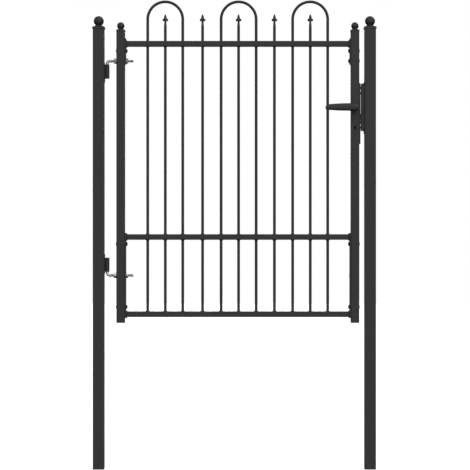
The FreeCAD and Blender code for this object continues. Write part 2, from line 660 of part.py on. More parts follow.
def lock_case():
    """A folded tray, open to the faceplate and to the back, its cover, and the plate that parts the key's chamber."""
    low, high, wall = S["case_low"], S["case_high"], S["case_wall"]
    outside = box("case_outside", case_back, -half_case, low, leaf_right, half_case - wall, high)
    inside = box("case_inside", case_inner_back, -case_room, low + wall, leaf_right + 1, half_case, high - wall)
    node(cut("case_tray", outside, inside, *side_holes("case_front", -half_case - 1, -case_room + 1)), "lock_case")
    sheet_side = box("case_cover_sheet", case_back, case_room, low, leaf_right, half_case, high)
    node(cut("case_cover", sheet_side, *side_holes("case_back", case_room - 1, half_case + 1)), "lock_case_cover")
    stud = rod("rocker_stud_pin", "-Y", spindle_x, case_room, S["rocker_height"], S["rocker_pin_dia"] / 2,
               case_room - S["rocker_low"])
    node(stud, "rocker_stud")
    node(box("ward_plate", case_inner_back, -0.75, low + wall, spindle_x + 10, 0.75, S["dead_low"] - 1),
         "lock_ward_plate")


def return_spring():
    """A coil round the spindle, between the case cover and the stile's back wall."""
    coil = doc.addObject("Part::Helix", "spring_path")
    coil.Pitch = 1.2
    coil.Height = 1.6
    coil.Radius = 7.6
    place(coil, spindle_x, half_case + 0.7, S["spindle_height"], ALONG["+Y"])
    wire = doc.addObject("Part::Circle", "spring_wire")
    wire.Radius = 0.5
    place(wire, spindle_x + 7.6, half_case + 0.7, S["spindle_height"])
    coils = doc.addObject("Part::Sweep", "spring_coils")
    coils.Sections = [wire]
    coils.Spine = (coil, ["Edge1"])
    coils.Solid = True
    coils.Frenet = True
    node(coils, "lever_return_spring")


faceplate()
lock_case()
return_spring()


# ---------------------------------------------------------------- lock works

def follower():
    """The hub that the spindle turns, with a plate arm below it and a pin that works the rocker."""
    z = S["spindle_height"]
    lean = 20
    hub = rod("follower_hub", "+Y", spindle_x, 0.2 - half_case, z, S["follower_dia"] / 2, S["case_width"] - 0.4)
    turn = FreeCAD.Rotation(V(0, 1, 0), lean)
    corner = turn.multVec(V(-2.6, 0, -S["follower_arm"].value))
    arm = doc.addObject("Part::Box", "follower_plate")
    bind(arm, Length=5.2, Width=2.6, Height=S["follower_arm"])
    place(arm, spindle_x + corner.x, 3.2, z + corner.z, turn)
    pin_x = spindle_x - S["follower_arm"] * math.sin(math.radians(lean))
    pin_z = z - S["follower_arm"] * math.cos(math.radians(lean))
    boss = rod("follower_boss", "+Y", pin_x, 3.2, pin_z, 2.6, 2.6)
    pin = rod("follower_pin", "+Y", pin_x, 3.2, pin_z, S["rocker_pin_dia"] / 2, S["rocker_high"] - 3.2)
    half_hole = S["spindle_size"] / 2 + 0.05
    square = box("follower_square", spindle_x - half_hole, -half_case - 1, z - half_hole,
                 spindle_x + half_hole, half_case + 1, z + half_hole)
    node(cut("follower_shape", fuse("follower_body", hub, arm, boss, pin), square), "lock_follower")


def rocker():
    """A plate on the case's stud, forked at both ends: it turns the follower's swing into the latch's pull."""
    z = S["rocker_height"]
    upright = FreeCAD.Rotation(V(0, 1, 0), -30.1)
    up = upright.multVec(V(0, 0, 1))
    across = upright.multVec(V(1, 0, 0))

    def slab(name, half_width, low, high, y, far_y):
        piece = doc.addObject("Part::Box", name)
        bind(piece, Length=half_width * 2, Width=size(far_y) - y, Height=high - low)
        spot = up * low - across * half_width
        return place(piece, spindle_x + spot.x, y, z + spot.z, upright)

    near, far = S["rocker_low"], S["rocker_high"]
    half_gap = S["rocker_pin_dia"].value / 2 + 0.7
    blade = slab("rocker_blade", half_gap + 1.3, -14, 11.8, near, far)
    boss = rod("rocker_boss", "+Y", spindle_x, near, z, half_gap + 1.3, far - near)
    upper_fork = slab("rocker_upper_fork", half_gap, 6.4, 14, near - 1, far + 1)
    lower_fork = slab("rocker_lower_fork", half_gap, -16, -8.2, near - 1, far + 1)
    bore = rod("rocker_bore", "+Y", spindle_x, near - 1, z, S["rocker_pin_dia"] / 2 + 0.05, 5)
    node(cut("rocker_shape", fuse("rocker_body", blade, boss), upper_fork, lower_fork, bore), "latch_rocker")


def latch_bolt():
    """The sprung bolt: a bevelled head, and a tail with the pin that the rocker's lower fork holds."""
    low, high = S["latch_low"], S["latch_high"]
    tip = faceplate_x + S["latch_reach"]
    back = case_inner_back + S["latch_reach"] + 1.5
    body = doc.addObject("PartDesign::Body", "latch_body")
    head = outline(body, "latch_outline", "XY_Plane",
                   [(back, -half_bolt), (tip - 10, -half_bolt), (tip, half_bolt - 2.2), (tip, half_bolt),
                    (back, half_bolt)])
    pad = body.newObject("PartDesign::Pad", "latch_pad")
    pad.Profile = head
    bind(pad, Length=high - low)
    place(body, 0, 0, low)
    pin = rod("latch_pin", "+Y", spindle_x + 6.25, half_bolt - 1, S["rocker_height"] - S["rocker_drop"],
              S["rocker_pin_dia"] / 2, S["rocker_high"] - half_bolt + 1)
    node(fuse("latch_shape", body, pin), "latch_bolt")


def dead_bolt():
    """The bolt that a key throws, with the notch below it that the key's bit turns in."""
    low, high = S["dead_low"], S["dead_high"]
    back = case_inner_back + 0.6
    tip = faceplate_x + S["dead_proud"]
    body = padded("dead_body", "XZ_Plane",
                  [(back, low), (spindle_x - 4.5, low), (spindle_x - 4.5, low + S["dead_notch_depth"]),
                   (spindle_x + 4.5, low + S["dead_notch_depth"]), (spindle_x + 4.5, low),
                   (tip, low), (tip, high), (back, high)], S["bolt_width"])
    node(body, "dead_bolt")


follower()
rocker()
latch_bolt()
dead_bolt()


# ---------------------------------------------------------------- levers and spindle

LEVER_SECTIONS = (
    # distance from the spindle towards the tip, half height, half thickness, drop of its middle
    (-11.5, 5.5, 3.6, 0), (-10, 8.6, 5.2, 0), (-6, 11.8, 6.5, 0), (0, 13.2, 7, 0), (20, 13.4, 6.8, 0),
    (60, 12.5, 6.2, 0), (94, 10.4, 5.6, 0.3), (101.5, 8.6, 4.8, 1.1), (105.5, 5.8, 3.4, 2), (107, 3, 1.8, 2.6),
)


def lever():
    """The lever: a round neck over the spindle and an oval arm that tapers to a round, slightly dropped tip."""
    z = S["spindle_height"]
    arm_y = -half_stile - S["lever_stand"]
    facing = FreeCAD.Rotation(V(0, 1, 0), -90)
    sections = []
    for i, (along, half_height, half_thick, drop) in enumerate(LEVER_SECTIONS):
        ring = doc.addObject("Part::Ellipse", f"lever_section_{i}")
        bind(ring, MajorRadius=half_height, MinorRadius=half_thick)
        place(ring, spindle_x - S["lever_reach"] * (along / 107), arm_y, z - drop, facing)
        sections.append(ring)
    arm = doc.addObject("Part::Loft", "lever_arm")
    arm.Sections = sections
    arm.Solid = True
    arm.Ruled = False
    neck_face = -half_stile - 0.3
    neck = rod("lever_neck", "-Y", spindle_x, neck_face, z, S["lever_neck_dia"] / 2, neck_face - arm_y)
    half_hole = S["spindle_size"] / 2 + 0.05
    socket = box("lever_socket", spindle_x - half_hole, -S["spindle_length"] / 2 - 0.5, z - half_hole,
                 spindle_x + half_hole, 0, z + half_hole)
    screw_y = -half_stile - 14
    hole = rod("lever_screw_hole", "-Z", spindle_x, screw_y, z, 2.55, 14)
    return cut("front_lever_shape", fuse("lever_casting", arm, neck), socket, hole)


def knob():
    """The round knob on the spindle's back end: a neck, a bevelled head and the spindle's socket."""
    z = S["spindle_height"]
    face = half_stile + 0.3
    head_face = half_stile + S["knob_stand"]
    bevel = 3
    radius = S["knob_dia"] / 2
    neck = rod("knob_neck", "+Y", spindle_x, face, z, S["knob_neck_dia"] / 2, head_face - face + 1)
    inner = cone("knob_inner_bevel", "+Y", spindle_x, head_face, z, radius - bevel, radius, bevel)
    head = rod("knob_head", "+Y", spindle_x, head_face + bevel, z, radius, S["knob_depth"] - 2 * bevel)
    outer = cone("knob_outer_bevel", "+Y", spindle_x, head_face + S["knob_depth"] - bevel, z, radius, radius - bevel,
                 bevel)
    half_hole = S["spindle_size"] / 2 + 0.05
    socket = box("knob_socket", spindle_x - half_hole, 0, z - half_hole, spindle_x + half_hole,
                 S["spindle_length"] / 2 + 0.5, z + half_hole)
    hole = rod("knob_screw_hole", "-Z", spindle_x, half_stile + 8, z, 2.55, 14)
    return cut("back_knob_shape", fuse("knob_turning", neck, inner, head, outer), socket, hole)


def grub_screw(name, y):
    z = S["spindle_height"]
    screw = rod(name + "_body", "-Z", spindle_x, y, z - S["spindle_size"] / 2 - 0.01, 2.45, 5.4)
    drive = hexagon(name + "_drive", "-Z", spindle_x, y, z - S["spindle_size"] / 2 - 3, 2.5, 4)
    return cut(name, screw, drive)


node(lever(), "front_lever")
node(knob(), "back_knob")
half_spindle = S["spindle_size"] / 2
node(box("spindle_bar", spindle_x - half_spindle, -S["spindle_length"] / 2, S["spindle_height"] - half_spindle,
         spindle_x + half_spindle, S["spindle_length"] / 2, S["spindle_height"] + half_spindle), "lever_spindle")
node(group("grub_screw_group", [grub_screw("front_grub_screw", -half_stile - 14),
                                grub_screw("back_grub_screw", half_stile + 8)]), "lever_grub_screws")


# ---------------------------------------------------------------- strike

def strike():
    """A folded box on a base plate, with a pocket for each bolt, held by three raised-head screws."""
    plate_x = post_inner - S["strike_plate_thick"]
    front_x = plate_x - S["strike_depth"]
    wall = S["strike_wall"]
    half_box = S["strike_box_width"] / 2
    half_plate = S["strike_plate_width"] / 2
    low, high = S["strike_box_low"], S["strike_box_high"]
    shell = box("strike_outside", front_x, -half_box, low, plate_x, half_box, high)
    tools = [box("strike_inside", front_x + wall, wall - half_box, low + wall, plate_x + 1, half_box - wall,
                 high - wall)]
    half_pocket = half_bolt + 1
    for name, pocket_low, pocket_high in (("latch_pocket", S["latch_low"] - 0.8, S["latch_high"] + 1.5),
                                          ("dead_pocket", S["dead_low"] - 1.5, S["dead_high"] + 0.7)):
        tools.append(box(name, front_x - 1, -half_pocket, pocket_low, front_x + 4, half_pocket, pocket_high))
    plate = box("strike_plate_sheet", plate_x, -half_plate, S["strike_plate_low"], post_inner, half_plate,
                S["strike_plate_high"])
    plate_holes = []
    screws = []
    for i, z in enumerate(strike_screw_heights):
        tools.append(rod(f"strike_box_hole_{i}", "+X", front_x - 1, 0, z, 2.5, 5))
        plate_holes.append(rod(f"strike_plate_hole_{i}", "+X", plate_x - 1, 0, z, 2.5, 5))
        head = cone(f"strike_screw_head_{i}", "-X", front_x, 0, z, 4.4, 3.4, 1.2)
        shank = rod(f"strike_screw_shank_{i}", "+X", front_x, 0, z, 2.2, 16)
        drive = hexagon(f"strike_screw_drive_{i}", "+X", front_x - 2, 0, z, 3, 3)
        screws.append(cut(f"strike_screw_{i}", fuse(f"strike_screw_body_{i}", head, shank), drive))
    node(cut("strike_box_shape", shell, *tools), "strike_box")
    node(cut("strike_plate_shape", plate, *plate_holes), "strike_base_plate")
    node(group("strike_screw_group", screws), "strike_screws")


strike()


# ---------------------------------------------------------------- check and write

doc.recompute()
faults = [f"{obj.Name}: {state}" for obj in doc.Objects for state in obj.State if state in ("Invalid", "Error")]
faults += [f"{label}: no valid shape" for label, obj in nodes if obj.Shape.isNull() or not obj.Shape.isValid()]
if len({label for label, obj in nodes}) != len(nodes):
    faults.append("two sub-parts share a name")
if faults:
    raise RuntimeError("; ".join(faults))
for label, obj in nodes:
    obj.Shape.exportStep(f"parts/{label}.step")
    print(f"{label}: {len(obj.Shape.Solids)} solid(s), {obj.Shape.Volume / 1000:.2f} cm3")
print(f"{len(nodes)} sub-parts")
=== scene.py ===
import json
from math import acos, asin, copysign, cos, degrees, pi, radians, sin, sqrt, tan, tau

import bmesh
import bpy
from mathutils import Matrix, Vector, noise


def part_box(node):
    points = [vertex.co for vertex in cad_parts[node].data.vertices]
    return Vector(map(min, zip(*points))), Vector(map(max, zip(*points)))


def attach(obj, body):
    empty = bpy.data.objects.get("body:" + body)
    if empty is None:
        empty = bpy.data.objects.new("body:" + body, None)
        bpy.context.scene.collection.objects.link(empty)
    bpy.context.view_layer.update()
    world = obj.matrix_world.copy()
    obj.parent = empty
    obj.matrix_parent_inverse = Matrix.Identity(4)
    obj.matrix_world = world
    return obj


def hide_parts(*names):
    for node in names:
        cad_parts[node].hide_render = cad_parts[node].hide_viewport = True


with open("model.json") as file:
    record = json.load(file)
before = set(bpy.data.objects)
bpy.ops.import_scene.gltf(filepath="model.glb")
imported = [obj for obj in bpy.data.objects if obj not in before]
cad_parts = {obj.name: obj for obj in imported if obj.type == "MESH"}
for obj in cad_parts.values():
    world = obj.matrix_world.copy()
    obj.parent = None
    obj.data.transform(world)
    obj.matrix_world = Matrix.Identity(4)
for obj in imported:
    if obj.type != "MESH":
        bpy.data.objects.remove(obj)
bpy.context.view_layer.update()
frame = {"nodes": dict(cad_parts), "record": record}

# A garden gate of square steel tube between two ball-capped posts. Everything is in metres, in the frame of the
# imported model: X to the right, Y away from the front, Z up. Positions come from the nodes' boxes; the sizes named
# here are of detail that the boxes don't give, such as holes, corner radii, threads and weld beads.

MM = 0.001
X, Y, Z = Vector((1, 0, 0)), Vector((0, 1, 0)), Vector((0, 0, 1))


# ---- mesh building

class Shape:
    """The vertices and faces of one piece, gathered part by part."""

    def __init__(self):
        self.verts = []
        self.faces = []

    def add(self, part, at=(0, 0, 0), along=Z, up=None):
        """Adds a part built round its own Z axis, with that axis laid along a direction from a point."""
        turn = facing(along, up)
        spot = Vector(at)
        start = len(self.verts)
        verts, faces = part
        self.verts += [turn @ Vector(v) + spot for v in verts]
        self.faces += [tuple(i + start for i in face) for face in faces]
        return self


def facing(along, up=None):
    """The rotation that lays Z along a direction, and X as near to up as it can be."""
    w = Vector(along).normalized()
    near = Vector(up) if up is not None else (X if abs(w.x) < 0.9 else Z)
    u = (near - w * near.dot(w)).normalized()
    return Matrix((u, w.cross(u), w)).transposed()


def loft(rings, loop=False):
    """A skin over rings of equal count, closed at its two ends, or with the last ring joined to the first."""
    count = len(rings[0])
    verts = [Vector(p) for ring in rings for p in ring]
    faces = []
    for i in range(len(rings) if loop else len(rings) - 1):
        a, b = i * count, (i + 1) % len(rings) * count
        faces += [(a + j, a + (j + 1) % count, b + (j + 1) % count, b + j) for j in range(count)]
    if not loop:
        faces.append(tuple(reversed(range(count))))
        faces.append(tuple(range(len(verts) - count, len(verts))))
    return verts, faces


def circle(radius, z=0.0, sides=32):
    """A ring of points round Z."""
    return [(radius * cos(tau * j / sides), radius * sin(tau * j / sides), z) for j in range(sides)]


def rounded(half_x, half_y, radius, z=0.0, steps=5):
    """A rectangle with round corners, anticlockwise."""
    ring = []
    for quarter, (sx, sy) in enumerate(((1, 1), (-1, 1), (-1, -1), (1, -1))):
        for k in range(steps + 1):
            angle = pi / 2 * (quarter + k / steps)
            ring.append((sx * (half_x - radius) + radius * cos(angle),
                         sy * (half_y - radius) + radius * sin(angle), z))
    return ring


def square(half, radius, z=0.0, steps=5):
    return rounded(half, half, radius, z, steps)


def in_mm(*points):
    """Points written in millimetres, given back in metres."""
    return [tuple(value * MM for value in point) for point in points]


def lathe(profile, sides=32, loop=False):
    """A profile of (radius, height) turned about Z. A radius of nought closes an end in a point."""
    verts, faces, rings = [], [], []
    for radius, height in profile:
        if radius < 1e-7:
            rings.append([len(verts)])
            verts.append(Vector((0, 0, height)))
        else:
            rings.append(list(range(len(verts), len(verts) + sides)))
            verts += [Vector(p) for p in circle(radius, height, sides)]
    pairs = list(zip(rings, rings[1:])) + ([(rings[-1], rings[0])] if loop else [])
    for a, b in pairs:
        for j in range(sides):
            k = (j + 1) % sides
            if len(a) == 1 and len(b) > 1:
                faces.append((a[0], b[k], b[j]))
            elif len(b) == 1 and len(a) > 1:
                faces.append((a[j], a[k], b[0]))
            elif len(a) > 1:
                faces.append((a[j], a[k], b[k], b[j]))
    return verts, faces


def arc(centre, radius, start, end, steps):
    """Points (a, b) of an arc, in degrees."""
    angles = [radians(start + (end - start) * k / steps) for k in range(steps + 1)]
    return [(centre[0] + radius * cos(angle), centre[1] + radius * sin(angle)) for angle in angles]


def square_tube(half, wall, corner, length):
    """A square hollow section along Z from nought: round corners outside and in, open ends."""
    inner_half, inner_corner = half - wall, max(corner - wall, 0.4 * MM)
    return loft([square(half, corner, 0), square(half, corner, length),
                 square(inner_half, inner_corner, length), square(inner_half, inner_corner, 0)], loop=True)


def plate(half_x, half_y, thick, corner, steps=4):
    """A flat plate along Z from nought, with round corners in its outline."""
    return loft([rounded(half_x, half_y, corner, z, steps) for z in (0, thick)])


def ring_about(centre, side, radii):
    """Points round a centre at the given radii, in the plane of Y and a side direction."""
    step = tau / len(radii)
    return [centre + (Y * cos(step * j) + side * sin(step * j)) * r for j, r in enumerate(radii)]


def rod_rings(path, radius, sides):
    """The rings of a round bar along points that lie in a plane of constant Y."""
    rings = []
    for i, p in enumerate(path):
        tangent = (path[min(i + 1, len(path) - 1)] - path[max(i - 1, 0)]).normalized()
        rings.append(ring_about(p, tangent.cross(Y), [radius] * sides))
    return rings


def hexagon(across, height, chamfer_low=True):
    """The rings of a nut's body along Z: six flats whose corners are turned off by a 30 degree cone at the ends."""
    flat = across / 2
    corner = flat / cos(pi / 6)
    turned = flat * 0.97                      # the radius that the cone leaves on the end face
    depth = (corner - turned) * tan(pi / 6)
    drops = [depth * k / 4 for k in range(5)]
    levels = [(drop, turned + drop / tan(pi / 6)) for drop in drops] if chamfer_low else [(0.0, corner)]
    levels += [(height - drop, turned + drop / tan(pi / 6)) for drop in reversed(drops)]
    rings = []
    for z, limit in levels:
        ring = []
        for j in range(36):
            angle = tau * j / 36
            inside = (angle + pi / 6) % (pi / 3) - pi / 6
            radius = min(flat / cos(inside), limit)
            ring.append((radius * cos(angle), radius * sin(angle), z))
        rings.append(ring)
    return rings


def bead(path, leg, ripple=1.9 * MM, closed=False, seed=0):
    """A fillet weld. path is (point, out along one face, out along the other) at each step.

    Its section bulges a little between the two faces, and its surface is drawn in overlapping ripples.
    """
    rings = []
    travelled = 0.0
    crown = 1.45
    shift = Vector((seed * 3.7, seed * 1.3, seed * 2.1))
    for i, (point, first, second) in enumerate(path):
        if i:
            travelled += (point - path[i - 1][0]).length
        drift = noise.noise(point * 190 + shift)
        wave = abs(sin(pi * (travelled / ripple + 0.35 * drift)))
        size = leg * (0.93 + 0.09 * drift + 0.075 * wave)
        if not closed:
            size *= 0.55 + 0.45 * min(1.0, min(i, len(path) - 1 - i) / 2)
        ring = [point - (first + second) * 0.35 * MM]
        for k in range(7):
            angle = pi / 2 * k / 6
            ring.append(point - (first if k == 6 else second) * (0.25 * MM if k in (0, 6) else 0)
                        + first * size * cos(angle) ** crown + second * size * sin(angle) ** crown)
        rings.append(ring)
    return loft(rings, loop=closed)


def ring_bead(centre, radius, axis, leg, seed, steps=28):
    """A fillet round a bar where it meets a face; axis points out of the face, along the bar."""
    turn = facing(axis)
    outs = [turn @ Vector(p) for p in circle(1, 0, steps)]
    path = [(Vector(centre) + out * radius, out, axis) for out in outs]
    return bead(path, leg, closed=True, seed=seed, ripple=1.6 * MM)


def frame_bead(centre, half_a, half_b, corner, axis, leg, seed, step=0.8 * MM):
    """A fillet round a rectangular section where it meets a face; axis points out of the face, along the section."""
    turn = facing(axis, up=Y)
    outline = [Vector(p) for p in rounded(half_a, half_b, corner, 0, 5)]
    path = []
    for p, q in zip(outline, outline[1:] + outline[:1]):
        pieces = max(1, round((q - p).length / step))
        for k in range(pieces):
            spot = p.lerp(q, k / pieces)
            inner = Vector((max(-half_a + corner, min(half_a - corner, spot.x)),
                            max(-half_b + corner, min(half_b - corner, spot.y)), 0))
            out = (turn @ (spot - inner)).normalized()
            path.append((Vector(centre) + turn @ spot, out, axis))
    return bead(path, leg, closed=True, seed=seed)


def line_bead(start, end, first, second, leg, seed, step=0.7 * MM):
    """A straight fillet between two faces."""
    count = max(4, round((end - start).length / step))
    return bead([(start.lerp(end, i / count), first, second) for i in range(count + 1)], leg, seed=seed)


# ---- pieces

def in_scene(name, data):
    """A new object in the scene, with a mesh, a lamp or a camera."""
    obj = bpy.data.objects.new(name, data)
    bpy.context.scene.collection.objects.link(obj)
    return obj


def new_object(name, shape):
    mesh = bpy.data.meshes.new(name)
    mesh.from_pydata([tuple(v) for v in shape.verts], [], shape.faces)
    work = bmesh.new()
    work.from_mesh(mesh)
    bmesh.ops.remove_doubles(work, verts=work.verts, dist=2e-6)
    bmesh.ops.recalc_face_normals(work, faces=work.faces)
    work.to_mesh(mesh)
    work.free()
    return in_scene(name, mesh)


def piece(name, part, at=(0, 0, 0), along=Z, up=None):
    """A new object from one part, laid along a direction from a point."""
    return new_object(name, Shape().add(part, at, along, up))


def modify(obj, name, kind, **settings):
    """Adds a modifier with its settings."""
    modifier = obj.modifiers.new(name, kind)
    for key, value in settings.items():
        setattr(modifier, key, value)


def apply_all(obj):
    """Makes the object's mesh what its modifiers show, and clears them."""
    graph = bpy.context.evaluated_depsgraph_get()
    mesh = bpy.data.meshes.new_from_object(obj.evaluated_get(graph))
    obj.modifiers.clear()
    obj.data = mesh


def boolean(obj, shape, operation="DIFFERENCE"):
    """Cuts a closed shape from the object, or joins it on."""
    tool = new_object("tool", shape)
    modify(obj, "boolean", "BOOLEAN", operation=operation, solver="EXACT", object=tool)
    apply_all(obj)
    bpy.data.objects.remove(tool)


def cut_out(obj, part, at=(0, 0, 0), along=Z, up=None):
    boolean(obj, Shape().add(part, at, along, up))


def finish_piece(obj, body, finish, *replaced, edge=0.0, sharp=38):
    """Rounds a piece's hard edges, gives it its finish, and lets it ride on its body in the place of CAD nodes."""
    material, slot_name = finish
    obj.data.shade_smooth()
    if edge:
        modify(obj, "edges", "BEVEL", width=edge, segments=2, limit_method="ANGLE", angle_limit=radians(sharp),
               miter_outer="MITER_ARC")
        apply_all(obj)
    mesh = obj.data
    mesh.shade_smooth()
    mesh.set_sharp_from_angle(angle=radians(sharp))
    modify(obj, "normals", "WEIGHTED_NORMAL", keep_sharp=True)
    mesh.materials.clear()
    mesh.materials.append(material)
    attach(obj, body)
    if replaced:
        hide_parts(*replaced)


# ---- materials

class Tree:
    """Adds nodes to a node tree and links them."""

    def __init__(self, tree):
        self.tree = tree

    def put(self, socket, value):
        """Links a source to a socket, or gives the socket a value."""
        if isinstance(value, bpy.types.NodeSocket):
            self.tree.links.new(value, socket)
        else:
            socket.default_value = value

    def add(self, kind, inputs=None, **settings):
        """A new node with its settings and its inputs, by name or number."""
        node = self.tree.nodes.new(kind)
        for key, value in settings.items():
            setattr(node, key, value)
        for key, value in (inputs or {}).items():
            self.put(node.inputs[key], value)
        return node

    def remap(self, source, to_low, to_high, low=0.3, high=0.7, **settings):
        inputs = {"Value": source, "From Min": low, "From Max": high, "To Min": to_low, "To Max": to_high}
        return self.add("ShaderNodeMapRange", inputs, **settings).outputs["Result"]

    def math(self, operation, a, b):
        return self.add("ShaderNodeMath", {0: a, 1: b}, operation=operation).outputs["Value"]

    def dot(self, a, b):
        return self.add("ShaderNodeVectorMath", {0: a, 1: b}, operation="DOT_PRODUCT").outputs["Value"]


class Nodes(Tree):
    """A material's tree, with its shader."""

    def __init__(self, name):
        self.material = bpy.data.materials.new(name)
        self.material.use_nodes = True
        super().__init__(self.material.node_tree)
        self.place = self.add("ShaderNodeTexCoord").outputs["Object"]

    def shade(self, socket, value):
        """Links a source to one of the shader's inputs, or gives it a value."""
        self.put(self.tree.nodes["Principled BSDF"].inputs[socket], value)

    def noise(self, scale, detail=2.0, roughness=0.5, stretch=None):
        """Noise over the piece's own place; scale is in cycles a metre."""
        place = self.place
        if stretch:
            place = self.add("ShaderNodeMapping", {"Vector": place, "Scale": stretch}).outputs["Vector"]
        inputs = {"Vector": place, "Scale": scale, "Detail": detail, "Roughness": roughness}
        return self.add("ShaderNodeTexNoise", inputs).outputs["Fac"]

    def mix(self, factor, a, b):
        a, b = ((*colour, 1) if isinstance(colour, tuple) else colour for colour in (a, b))
        return self.add("ShaderNodeMix", {"Factor": factor, "A": a, "B": b}, data_type="RGBA").outputs["Result"]

    def two_tone(self, source, a, b):
        """A noise's low places in one colour and its high places in another."""
        return self.mix(self.remap(source, 0, 1), a, b)

    def bump(self, layers):
        """Bumps on bumps: (height source, strength, distance in metres)."""
        under = {}
        for source, strength, distance in layers:
            node = self.add("ShaderNodeBump", {"Height": source, "Strength": strength, "Distance": distance, **under})
            under = {"Normal": node.outputs["Normal"]}
        self.shade("Normal", under["Normal"])

    def normal(self):
        return self.add("ShaderNodeNewGeometry").outputs["Normal"]

    def edges(self, radius):
        """0 on flats, rising towards 1 on edges that turn within the radius."""
        rounded_off = self.add("ShaderNodeBevel", {"Radius": radius}, samples=4).outputs["Normal"]
        return self.remap(self.dot(rounded_off, self.normal()), 0.0, 1.0, 1.0, 0.8)

    def upward(self):
        """1 where a surface looks up, 0 where it is upright or looks down."""
        split = self.add("ShaderNodeSeparateXYZ", {"Vector": self.normal()})
        return self.remap(split.outputs["Z"], 0.0, 1.0, 0.2, 1.0)


def powder_coat():
    """Satin anthracite powder coat: orange peel, a finer grain, thin bright edges and a trace of dust on top."""
    m = Nodes("powder_coat")
    tone = m.noise(7, 3, 0.55)
    speck = m.noise(1500, 2, 0.6)
    peel = m.noise(430, 2, 0.45)
    base = m.two_tone(tone, (0.0205, 0.0210, 0.0220), (0.0265, 0.0270, 0.0280))
    grain = m.mix(m.remap(speck, 0, 1, 0.35), base, (0.0300, 0.0305, 0.0315))
    worn = m.math("MULTIPLY", m.edges(0.9 * MM), m.remap(m.noise(60, 3, 0.6), 0.0, 0.5, 0.42, 0.72))
    edged = m.mix(worn, grain, (0.060, 0.061, 0.063))
    dust = m.math("MULTIPLY", m.upward(), m.remap(m.noise(45, 4, 0.6), 0.0, 0.30, 0.35, 0.75))
    m.shade("Base Color", m.mix(dust, edged, (0.075, 0.073, 0.069)))
    rough = m.math("ADD", m.remap(tone, 0.40, 0.47), m.remap(speck, -0.035, 0.045))
    rough = m.math("SUBTRACT", rough, m.math("MULTIPLY", worn, 0.16))
    m.shade("Roughness", m.math("ADD", rough, m.math("MULTIPLY", dust, 0.9)))
    m.shade("Specular IOR Level", 0.42)
    m.bump([(peel, 0.32, 0.16 * MM), (speck, 0.22, 0.05 * MM)])
    return m.material


def bright_zinc():
    """Bright zinc plating over a turned rod: a faint blue and yellow cast, fine turning lines and dull patches."""
    m = Nodes("bright_zinc")
    cast = m.noise(70, 3, 0.6)
    fine = m.noise(900, 3, 0.6)
    lines = m.noise(1600, 1, 0.5, stretch=(1.0, 0.08, 0.08))
    base = m.two_tone(cast, (0.58, 0.60, 0.63), (0.66, 0.65, 0.60))
    dull = m.remap(m.noise(210, 4, 0.65), 0.0, 0.6, 0.5, 0.78)
    m.shade("Base Color", m.mix(dull, base, (0.42, 0.43, 0.44)))
    m.shade("Roughness", m.math("ADD", m.remap(fine, 0.24, 0.34), m.math("MULTIPLY", dull, 0.22)))
    m.shade("Metallic", 1.0)
    m.bump([(lines, 0.25, 0.03 * MM), (fine, 0.2, 0.03 * MM)])
    return m.material


def black_zinc():
    """Black-coated steel fasteners: a thin dark film that shines a little and rubs lighter on its edges."""
    m = Nodes("black_zinc")
    film = m.noise(260, 3, 0.6)
    fine = m.noise(1700, 2, 0.6)
    base = m.two_tone(film, (0.0075, 0.0075, 0.0080), (0.013, 0.013, 0.0135))
    rubbed = m.math("MULTIPLY", m.edges(0.5 * MM), m.remap(film, 0.1, 0.7, 0.4))
    m.shade("Base Color", m.mix(rubbed, base, (0.07, 0.068, 0.066)))
    m.shade("Roughness", m.math("SUBTRACT", m.remap(fine, 0.32, 0.44), m.math("MULTIPLY", rubbed, 0.10)))
    m.shade("Metallic", 0.35)
    m.bump([(fine, 0.25, 0.03 * MM)])
    return m.material


def polyethylene():
    """Black moulded plastic with a fine spark-eroded grain and a few rubbed, lighter places."""
    m = Nodes("black_polyethylene")
    grain = m.noise(2200, 3, 0.65)
    cloud = m.noise(90, 3, 0.6)
    m.shade("Base Color", m.mix(m.remap(cloud, 0, 1, 0.35), (0.010, 0.010, 0.0105), (0.0165, 0.0165, 0.017)))
    m.shade("Roughness", m.math("ADD", m.remap(grain, 0.48, 0.62), m.remap(cloud, -0.04, 0.05)))
    m.bump([(grain, 0.35, 0.04 * MM)])
    return m.material


def lock_steel():
    """Dark lock steel, drawn along X, with rubbed streaks where the bolts run."""
    m = Nodes("lock_steel")
    drawn = m.noise(900, 2, 0.6, stretch=(0.06, 1.0, 1.0))
    patch = m.noise(110, 4, 0.6)
    base = m.two_tone(patch, (0.085, 0.086, 0.090), (0.115, 0.114, 0.110))
    m.shade("Base Color", m.mix(m.remap(drawn, 0.0, 0.5, 0.5, 0.8), base, (0.15, 0.15, 0.148)))
    m.shade("Roughness", m.math("ADD", m.remap(drawn, 0.34, 0.46), m.remap(patch, -0.03, 0.05)))
    m.shade("Metallic", 0.9)
    m.bump([(drawn, 0.3, 0.03 * MM)])
    return m.material


def black_phosphate_and_keyhole_shade():
    """Matt, near-black phosphate on the ward plate behind the keyhole, faintly patched, and darker still as painted
    shade in the keyhole.
    """
    m = Nodes("black_phosphate_and_keyhole_shade")
    patch = m.noise(160, 4, 0.6)
    m.shade("Base Color", m.two_tone(patch, (0.005, 0.005, 0.0052), (0.009, 0.009, 0.0088)))
    m.shade("Roughness", m.remap(patch, 0.70, 0.82))
    m.shade("Specular IOR Level", 0.12)
    return m.material


# Each finish with its material slot in the record.
PAINT = (powder_coat(), "painted_steel")
ZINC = (bright_zinc(), "zinc_plated_steel")
BLACK = (black_zinc(), "black_steel")
PLASTIC = (polyethylene(), "black_plastic")
STEEL = (lock_steel(), "lock_steel")
# The ward plate's near-black finish, darker than phosphate alone, is painted shade for the keyhole.
WARD_AND_KEYHOLE_SHADE = black_phosphate_and_keyhole_shade()


# ---- square tubes

def middle_of(node):
    """The middle of a node's box."""
    low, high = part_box(node)
    return (low + high) / 2


POST_WALL, STILE_WALL, RAIL_WALL = 2 * MM, 2 * MM, 1.5 * MM
BAR_RADIUS = 5 * MM
BOLT_HOLE, ROD_HOLE, SCREW_HOLE = 4.5 * MM, 5.3 * MM, 2.5 * MM      # radii

